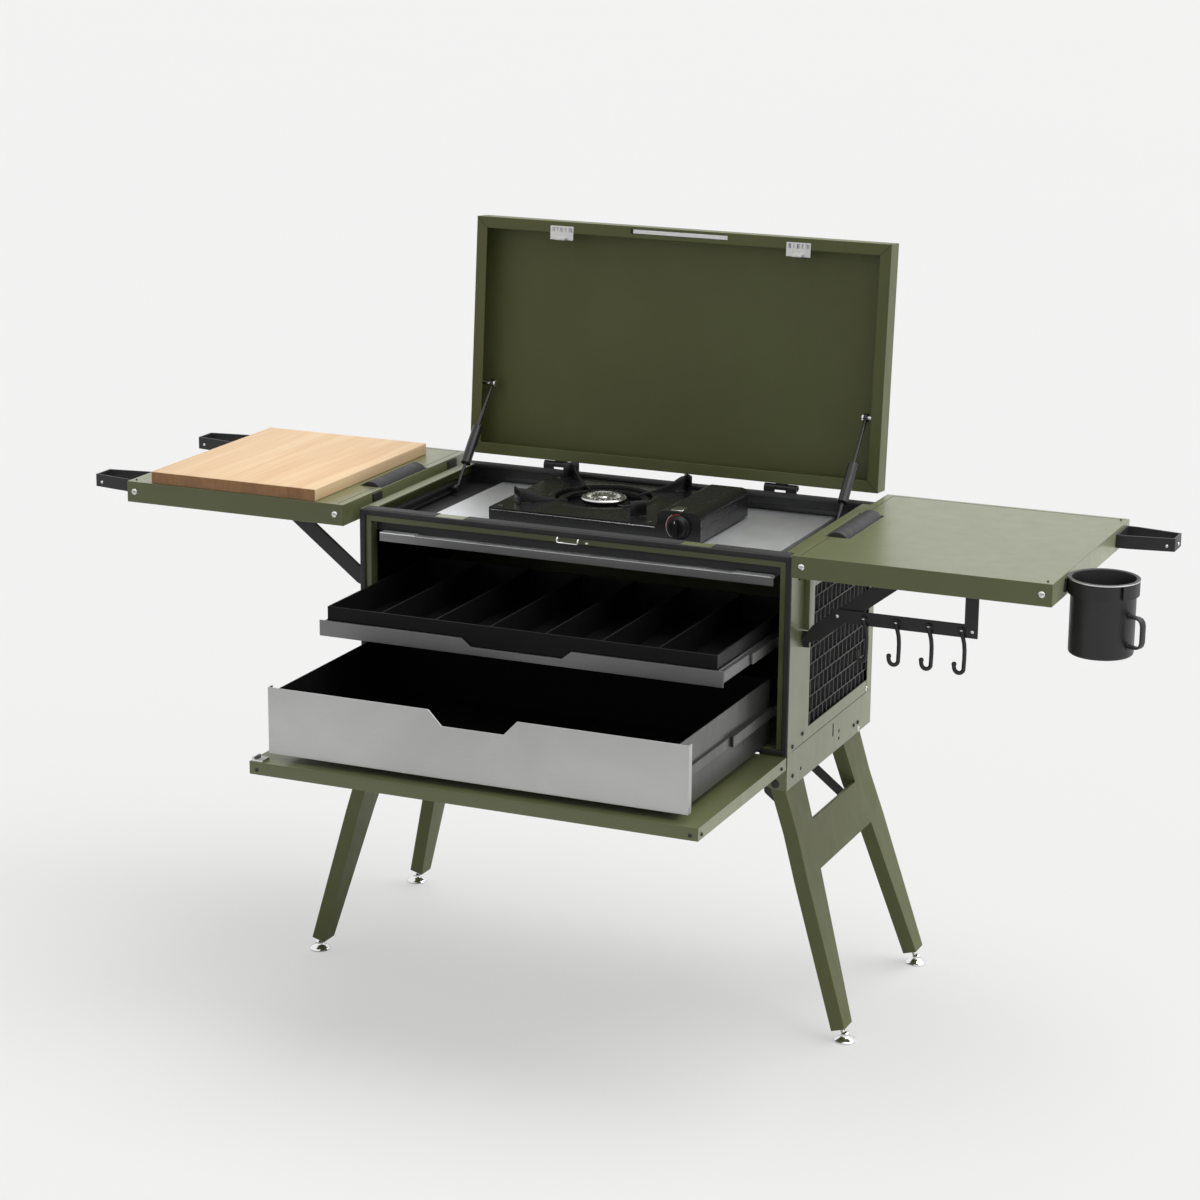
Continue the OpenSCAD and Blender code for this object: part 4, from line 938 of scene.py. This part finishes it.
class KITCHEN_OT_mug(bpy.types.Operator):
    """Coated mug with a rolled rim and a strap handle"""
    bl_idname = "kitchen.mug"
    bl_label = "Mug"

    def execute(self, context):
        lo, hi = place_of("mug")
        seat = hi.z - 3
        wing_end, radius, ring_room = 743, 46.0, 5.2
        x, y = wing_end + radius + ring_room, 48.0
        base = lo.z
        body = turned([(41, base), (43.6, base + 0.5), (45.4, base + 2.2), (45.9, base + 5),
                       (46, seat - 1), (46.6, seat + 0.1), (50.2, seat + 0.1), (50.6, seat + 0.9),
                       (50.5, seat + 2.2), (49.9, seat + 2.9), (46, seat + 3), (45, seat + 2.3),
                       (44.5, seat + 0.5), (44.4, base + 8), (43.4, base + 4), (41, base + 2.4),
                       (20, base + 2.2)], 96)
        stand(body, (x, y, 0))
        turn = math.radians(-22)
        outline = [(45.2, -45), (60, -45), (64.5, -46.2), (67.6, -49.6), (69, -55), (69, -78),
                   (67.6, -83.4), (64.5, -86.8), (60, -88), (45.2, -88)]
        line_of([(r / 1000, h / 1000, 0) for r, h in outline],
                dimensions="2D", fill_mode="NONE", extrude=0.0055)
        handle = meshed()
        modify(handle, "SOLIDIFY", thickness=0.0032, offset=0.0)
        outward(handle)
        bevel(handle, 0.9, 2, 30)
        place = Matrix.Translation(at(x, y, seat)) @ Matrix.Rotation(turn, 4, "Z") @ \
            Matrix.Rotation(math.radians(90), 4, "X")
        handle.data.transform(place)
        pads = []
        for h in (-45, -88):
            pad = turned([(5.2, 0), (5.6, 0.6), (5.2, 1.6)], 20)
            direction = (math.cos(turn), math.sin(turn), 0)
            foot = (x + 45.6 * direction[0], y + 45.6 * direction[1], seat + h)
            pads.append(stand(pad, foot, direction))
        piece = complete(joined([body, handle] + pads), "camp_mug", "mug", "mug")
        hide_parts("mug")
        # A thin ring of bright steel finish round the outer edge of the rim, for the rim's pale line
        rim = turned([(49.9, 2.4), (50.6, 2.5), (50.9, 2.0), (50.9, 1.4), (50.6, 1.0), (49.9, 1.1),
                      (49.9, 2.4)], 96, ring=True)
        stand(rim, (x, y, seat))
        complete(rim, "mug_pale_rim_ring", "bright", "mug")
        return {"FINISHED"}


class KITCHEN_OT_board(bpy.types.Operator):
    """Laminated chopping board with eased edges and darker end grain"""
    bl_idname = "kitchen.board"
    bl_label = "Chopping board"

    def execute(self, context):
        lo, hi = place_of("chopping_board")
        piece = block(lo, hi, 1.6, 3)
        piece.data.materials.append(finish("board_top"))
        piece.data.materials.append(finish("board_end"))
        for face in piece.data.polygons:
            face.material_index = 1 if abs(face.normal.y) > 0.75 else 0
        complete(piece, "laminated_board", None, "board")
        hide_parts("chopping_board")
        return {"FINISHED"}


class KITCHEN_OT_feet(bpy.types.Operator):
    """Levelling feet: a flared chrome pad, a ball and a threaded stem"""
    bl_idname = "kitchen.feet"
    bl_label = "Levelling feet"

    def execute(self, context):
        for node, body, s in (("left_feet", "left_legs", -1), ("right_feet", "right_legs", 1)):
            lo, hi = place_of(node)
            x = lo.x + 14 if s < 0 else hi.x - 14
            pieces = []
            for y in (lo.y + 14, hi.y - 14):
                pad = turned([(15.4, 0), (16.6, 0.6), (16.8, 2.0), (16.2, 3.0), (14.2, 4.4), (11.0, 6.0),
                              (8.2, 7.8), (6.6, 9.6), (6.4, 11.2), (6.6, 12.6), (5.4, 14.4),
                              (2.5, 15.4)], 48)
                pieces.append(stand(pad, (x, y, 0)))
                lean = Vector((-s * math.sin(math.radians(16)), 0, math.cos(math.radians(16))))
                rings = [(3.0, 0)]
                for k in range(8):
                    rings += [(3.0, 9 + k * 1.3), (3.8, 9.65 + k * 1.3)]
                stem = turned(rings + [(3.0, 20)], 20)
                pieces.append(stand(stem, (x, y, 0), lean))
            piece = complete(joined(pieces), body + "_levelling_feet", "chrome", body)
            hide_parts(node)
        return {"FINISHED"}


class KITCHEN_OT_stove(bpy.types.Operator):
    """Burner with its slotted ring and cap, the knob with its dial, ribs, vents drawn dark as painted shade,
    a bright strip of painted highlight on the body's front, and screws
    """
    bl_idname = "kitchen.stove"
    bl_label = "Stove"

    def execute(self, context):
        lo, hi = place_of("burner")
        x, y = (lo.x + hi.x) / 2, (lo.y + hi.y) / 2
        base = lo.z
        ring = turned([(25, 0), (25.5, 6), (33, 6.4), (33.6, 7), (33.6, 10.2), (32.4, 11), (29, 11.2)], 64)
        stand(ring, (x, y, base))
        tooth = loose_block((33.0, -1.0, 7.2), (34.3, 1.0, 10.6), 0.25, 1)
        teeth = round_about(tooth, (x, y, base), range(0, 360, 10))
        piece = complete(joined([ring] + teeth), "burner_ring", "enamel", "stove")
        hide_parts("burner")
        cap = turned([(30, 11.2), (35.0, 11.4), (35.6, 12.2), (35.2, 13.4), (33.8, 14.6), (31.5, 15.2),
                      (30.2, 14.4), (28.6, 14.4), (27.4, 15.0), (18.5, 15.2), (17.4, 14.5), (9.5, 14.5),
                      (8.5, 15.6), (5.5, 16.2), (2.0, 16.2)], 64)
        stand(cap, (x, y, base))
        ridge = loose_block((19.0, -0.9, 14.8), (27.0, 0.9, 15.7), 0.25, 1)
        ridges = round_about(ridge, (x, y, base), range(0, 360, 20))
        complete(joined([cap] + ridges), "burner_cap", "burner", "stove")

        arm = plate_outline([(60, 728), (60, 736), (84, 739.5), (112, 748), (130, 758), (142, 760.5),
                             (142, 737.5), (126, 737.5), (104, 733), (84, 728)], 2.4)
        bevel(arm, 0.5)
        tab = loose_block((141.4, -13.5, 737), (144, 13.5, 761), 0.9)
        arms = round_about(joined([arm, tab]), (x, y, 0), (45, 135, 225, 315))
        band = turned([(60, 728), (72, 728), (73, 729), (72, 731.6), (68, 732.4), (62, 732.2), (60, 731),
                       (60, 728)], 72, ring=True)
        stand(band, (x, y, 0))
        piece = complete(joined(arms + [band]), "pan_arms", "enamel", "stove")
        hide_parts("pan_support")
        body_hi = place_of("stove_body")[1]
        rim = turned([(77, -0.4), (77, 0.5), (79, 1.0), (84, 0.8), (86, -0.4), (77, -0.4)], 96, ring=True)
        stand(rim, (x, y, body_hi.z))
        complete(rim, "dish_rim", "enamel", "stove")

        lo, hi = place_of("stove_knob")
        kx, kz, face = (lo.x + hi.x) / 2, (lo.z + hi.z) / 2, hi.y
        disc = turned([(20.6, 0), (20.9, 0.3), (20.6, 0.9), (18.5, 1.0)], 64)
        skirt = turned([(18, 0.9), (18, 1.6), (16.4, 3.2), (15.2, 8.5), (14.6, 11), (13.4, 12),
                        (9, 12.2)], 64)
        stand(disc, (kx, face, kz), (0, -1, 0))
        stand(skirt, (kx, face, kz), (0, -1, 0))
        fin = block((kx - 2.8, face - 17.8, kz - 14.5), (kx + 2.8, face - 11, kz + 14.5), 1.3, 3)
        piece = complete(joined([disc, skirt, fin]), "gas_knob", "plastic", "stove_knob")
        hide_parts("stove_knob")
        for name, look, reach, start, end, thick in (
                ("dial_white", "white", 20.2, 122, 236, 0.45), ("dial_red", "red", 18.6, 84, 214, 0.7)):
            angles = [math.radians(a) for a in range(start, end + 1, 6)]
            points = [(kx + reach * math.cos(a), face - 1.0, kz + reach * math.sin(a)) for a in angles]
            complete(wire(points, thick, 3), name, look, "stove_knob")
        pointer = block((kx - 0.5, face - 18.1, kz + 8), (kx + 0.5, face - 17.6, kz + 12), 0.2, 1)
        complete(pointer, "knob_pointer", "white", "stove_knob")

        lo, hi = place_of("fuel_cover")
        rows = [lo.y + 70 + k * 13 for k in range(context.scene.kitchen_size.ribs)]
        ribs = [block((lo.x + 14, y, hi.z - 0.6), (hi.x - 13, y + 3, hi.z + 0.5), 0.5) for y in rows]
        complete(joined(ribs), "cover_ribs", "enamel", "fuel_cover")
        mark = block((lo.x + 19, lo.y + 10, hi.z - 0.3), (lo.x + 38, lo.y + 34, hi.z + 0.35), 0.3, 1)
        complete(mark, "cover_plate", "bright", "fuel_cover")
        rows = [lo.y + 60 + k * 9 for k in range(10)]
        # Dark marks for the cover's vents: painted shade
        vent_shades = [block((hi.x - 0.5, y, lo.z + 5), (hi.x + 0.25, y + 5, lo.z + 8), 0.2, 1) for y in rows]
        complete(joined(vent_shades), "cover_vents", "recess", "fuel_cover")

        lo, hi = place_of("stove_body")
        rows = [lo.x + 14 + k * 11 for k in range(18)]
        # Dark marks for the stove's vent slots: painted shade
        vents = [block((x, lo.y - 0.25, lo.z + 15), (x + 7, lo.y + 0.4, lo.z + 17.2), 0.2, 1) for x in rows]
        complete(joined(vents), "stove_vents", "recess", "stove")
        # A bright steel strip along the front face just under its top edge: painted highlight
        seam_highlight = block((lo.x + 2, lo.y - 0.35, hi.z - 4.2), (lo.x + 276, lo.y + 0.4, hi.z - 3.4), 0.15, 1)
        complete(seam_highlight, "stove_seam_highlight", "bright", "stove")
        spots = [((x, y, hi.z), (0, 0, 1)) for x in (lo.x + 14, lo.x + 262) for y in (lo.y + 14, hi.y - 14)]
        complete(copies(screw_master(4), spots), "stove_screws", "enamel", "stove")
        return {"FINISHED"}


class KITCHEN_OT_grips(bpy.types.Operator):
    """Rounds the rubber grips in the notches of the wings"""
    bl_idname = "kitchen.grips"
    bl_label = "Wing grips"

    def execute(self, context):
        for node in ("left_grip", "right_grip"):
            rounded_copy(node, 1.6, "grip", 3)
        return {"FINISHED"}


class KITCHEN_OT_lid_details(bpy.types.Operator):
    """Finger channel, mitred corners drawn as dark lines of painted shade, and catch plates of the lid"""
    bl_idname = "kitchen.lid_details"
    bl_label = "Lid details"

    def execute(self, context):
        hub = at(*pivot_of("lid_hinge"))
        turn = Matrix.Translation(hub) @ Matrix.Rotation(math.radians(-LID_OPEN), 4, "X") @ \
            Matrix.Translation(-hub)

        def closed(piece):
            piece.data.transform(turn)
            return piece

        channel = closed(block((-80, 0.6, 747), (80, 7.4, 748), 0.3, 1))
        complete(channel, "lid_finger_channel", "bright", "lid")
        # The mitre lines are drawn as thin dark bars: painted shade in the grooves
        lines = []
        for s in (-1, 1):
            for corner_y, dy in ((-4, 18), (379.7, -18)):
                line = wire([(s * 350, corner_y, 740.95), (s * 332, corner_y + dy, 740.95)], 0.3, 1)
                lines.append(closed(line))
        complete(joined(lines), "lid_mitre_lines", "recess", "lid")
        marks = []
        for s in (-1, 1):
            for dx, w in ((-17, 5), (-9, 3), (-3, 5), (5, 3), (11, 7)):
                x = s * CATCH_X + dx
                marks.append(closed(block((x, 5, 740.3), (x + w, 12.5, 740.8), 0.1, 1)))
        complete(joined(marks), "lid_catch_teeth", "bright", "lid")
        covers = [closed(block((s * CATCH_X - 21.5, 2.4, 740.5), (s * CATCH_X + 21.5, 14.4, 741.2), 0.2))
                  for s in (-1, 1)]
        complete(joined(covers), "lid_catch_covers", "satin", "lid")
        return {"FINISHED"}


class KITCHEN_OT_well_details(bpy.types.Operator):
    """Plate clips, the pale cup in the well and the rivets of the drawers' rails"""
    bl_idname = "kitchen.well_details"
    bl_label = "Well and slide details"

    def execute(self, context):
        tray_top = 706
        clips = [((-222, 33, place_of("cook_plate")[1].z), (0, 0, 1)), ((296, 33, tray_top), (0, 0, 1))]
        clip = turned([(5.5, 0), (5.5, 1.2), (3.2, 1.6), (3.2, 5.2), (4.6, 6.0), (4.6, 8.6), (3.6, 9.6)], 24)
        complete(copies(clip, clips), "plate_clips", "bright", "cabinet")
        cup = turned([(11, 0), (12, 0.6), (9.0, 24), (8.2, 24.6), (7.4, 24.2), (9.6, 3)], 40)
        stand(cup, (318, 46, tray_top))
        complete(cup, "well_cup", "pale", "cabinet")
        for node, body in (("deep_drawer_rails", "deep_drawer"), ("cutlery_rails", "cutlery_drawer")):
            lo, hi = place_of(node)
            spots = []
            for x, s in ((lo.x, -1), (hi.x, 1)):
                for y in (lo.y + 12, lo.y + 60, lo.y + 120):
                    spots.append(((x - s * 1.9, y, (lo.z + hi.z) / 2), (s, 0, 0)))
            complete(copies(screw_master(2.4), spots), node + "_rivets", "bright", body)
        return {"FINISHED"}


CAMERA_PLACE = (1788.7, -4005.3, 1808.2)  # fitted to the photograph's straight edges
CAMERA_TURN = (0.4097, 0.2612, 0.0089)  # yaw, pitch and roll in radians


class KITCHEN_OT_stage(bpy.types.Operator):
    """Floor, soft studio light and the camera at the photograph's angle"""
    bl_idname = "kitchen.stage"
    bl_label = "Stage"

    def execute(self, context):
        scene = context.scene
        stage = scene.kitchen_stage
        deselect()
        bpy.ops.mesh.primitive_plane_add(size=120, location=(0, 0, 0))
        floor = context.object
        floor.name = "studio_floor"
        floor.data.materials.append(finish("floor"))

        yaw, pitch, roll = CAMERA_TURN
        level = math.cos(pitch)
        forward = Vector((-math.sin(yaw) * level, math.cos(yaw) * level, -math.sin(pitch)))
        right = Vector((math.cos(yaw), math.sin(yaw), 0))
        up = right.cross(forward)
        side = right * math.cos(roll) + up * math.sin(roll)
        top = up * math.cos(roll) - right * math.sin(roll)
        camera_data = bpy.data.cameras.new("camera")
        camera_data.lens = stage.lens
        camera_data.sensor_width = 36
        camera_data.clip_end = 200
        camera = bpy.data.objects.new("camera", camera_data)
        scene.collection.objects.link(camera)
        turn = Matrix((side, top, -forward)).transposed().to_4x4()
        camera.matrix_world = Matrix.Translation(at(*CAMERA_PLACE)) @ turn
        scene.camera = camera

        for name, direction, strength, spread in (
                ("key", (0.76, -0.05, 0.62), stage.key, 50), ("top", (0.30, 0.22, 1.0), stage.top, 58)):
            light = bpy.data.lights.new(name, "SUN")
            light.energy = strength
            light.angle = math.radians(spread)
            lamp = bpy.data.objects.new(name, light)
            lamp.rotation_mode = "QUATERNION"
            lamp.rotation_quaternion = Vector((0, 0, 1)).rotation_difference(Vector(direction))
            scene.collection.objects.link(lamp)

        world = bpy.data.worlds.new("studio")
        scene.world = world
        world.use_nodes = True
        nodes, links = world.node_tree.nodes, world.node_tree.links
        ground = nodes["Background"]
        ground.inputs["Color"].default_value = (1, 1, 1, 1)
        ground.inputs["Strength"].default_value = stage.fill
        pale = nodes.new("ShaderNodeBackground")
        pale.inputs["Color"].default_value = (1, 1, 1, 1)
        pale.inputs["Strength"].default_value = 1.0
        path = nodes.new("ShaderNodeLightPath")
        either = nodes.new("ShaderNodeMath")
        either.operation = "MAXIMUM"
        seen = nodes.new("ShaderNodeMath")
        seen.operation = "MAXIMUM"
        links.new(path.outputs["Is Glossy Ray"], seen.inputs[0])
        links.new(path.outputs["Is Transmission Ray"], seen.inputs[1])
        links.new(path.outputs["Is Camera Ray"], either.inputs[0])
        links.new(seen.outputs[0], either.inputs[1])
        blend = nodes.new("ShaderNodeMixShader")
        links.new(either.outputs[0], blend.inputs[0])
        links.new(ground.outputs[0], blend.inputs[1])
        links.new(pale.outputs[0], blend.inputs[2])
        links.new(blend.outputs[0], nodes["World Output"].inputs["Surface"])
        scene.view_settings.view_transform = "Standard"
        return {"FINISHED"}


class KITCHEN_PT_panel(bpy.types.Panel):
    """Lists the kitchen's pieces, sizes and colours"""
    bl_idname = "KITCHEN_PT_panel"
    bl_label = "Camp kitchen"
    bl_space_type = "VIEW_3D"
    bl_region_type = "UI"
    bl_category = "Kitchen"

    def draw(self, context):
        layout = self.layout
        for group, names in ((context.scene.kitchen_finish, ("olive", "black", "steel")),
                             (context.scene.kitchen_size, ("cell_w", "cell_h", "screw", "strip", "ribs")),
                             (context.scene.kitchen_stage, ("lens", "key", "top", "fill"))):
            box = layout.box()
            for name in names:
                box.prop(group, name)
        for operator in OPERATORS:
            layout.operator(operator.bl_idname)


OPERATORS = (
    KITCHEN_OT_stage, KITCHEN_OT_finishes, KITCHEN_OT_rounded_sheet, KITCHEN_OT_plate_lip,
    KITCHEN_OT_drawer_inside, KITCHEN_OT_seal, KITCHEN_OT_catch, KITCHEN_OT_side_details,
    KITCHEN_OT_side_meshes, KITCHEN_OT_screws, KITCHEN_OT_wing_seams, KITCHEN_OT_hooks, KITCHEN_OT_mug,
    KITCHEN_OT_board, KITCHEN_OT_feet, KITCHEN_OT_stove, KITCHEN_OT_grips,
    KITCHEN_OT_lid_details, KITCHEN_OT_well_details,
)
GROUPS = (KITCHEN_PG_finish, KITCHEN_PG_size, KITCHEN_PG_stage)


def register():
    for cls in GROUPS + OPERATORS + (KITCHEN_PT_panel,):
        bpy.utils.register_class(cls)
    bpy.types.Scene.kitchen_finish = PointerProperty(type=KITCHEN_PG_finish)
    bpy.types.Scene.kitchen_size = PointerProperty(type=KITCHEN_PG_size)
    bpy.types.Scene.kitchen_stage = PointerProperty(type=KITCHEN_PG_stage)


def unregister():
    del bpy.types.Scene.kitchen_stage
    del bpy.types.Scene.kitchen_size
    del bpy.types.Scene.kitchen_finish
    for cls in reversed(GROUPS + OPERATORS + (KITCHEN_PT_panel,)):
        bpy.utils.unregister_class(cls)


def main():
    register()
    for operator in OPERATORS:
        family, name = operator.bl_idname.split(".")
        getattr(getattr(bpy.ops, family), name)()


if __name__ == "__main__":
    main()
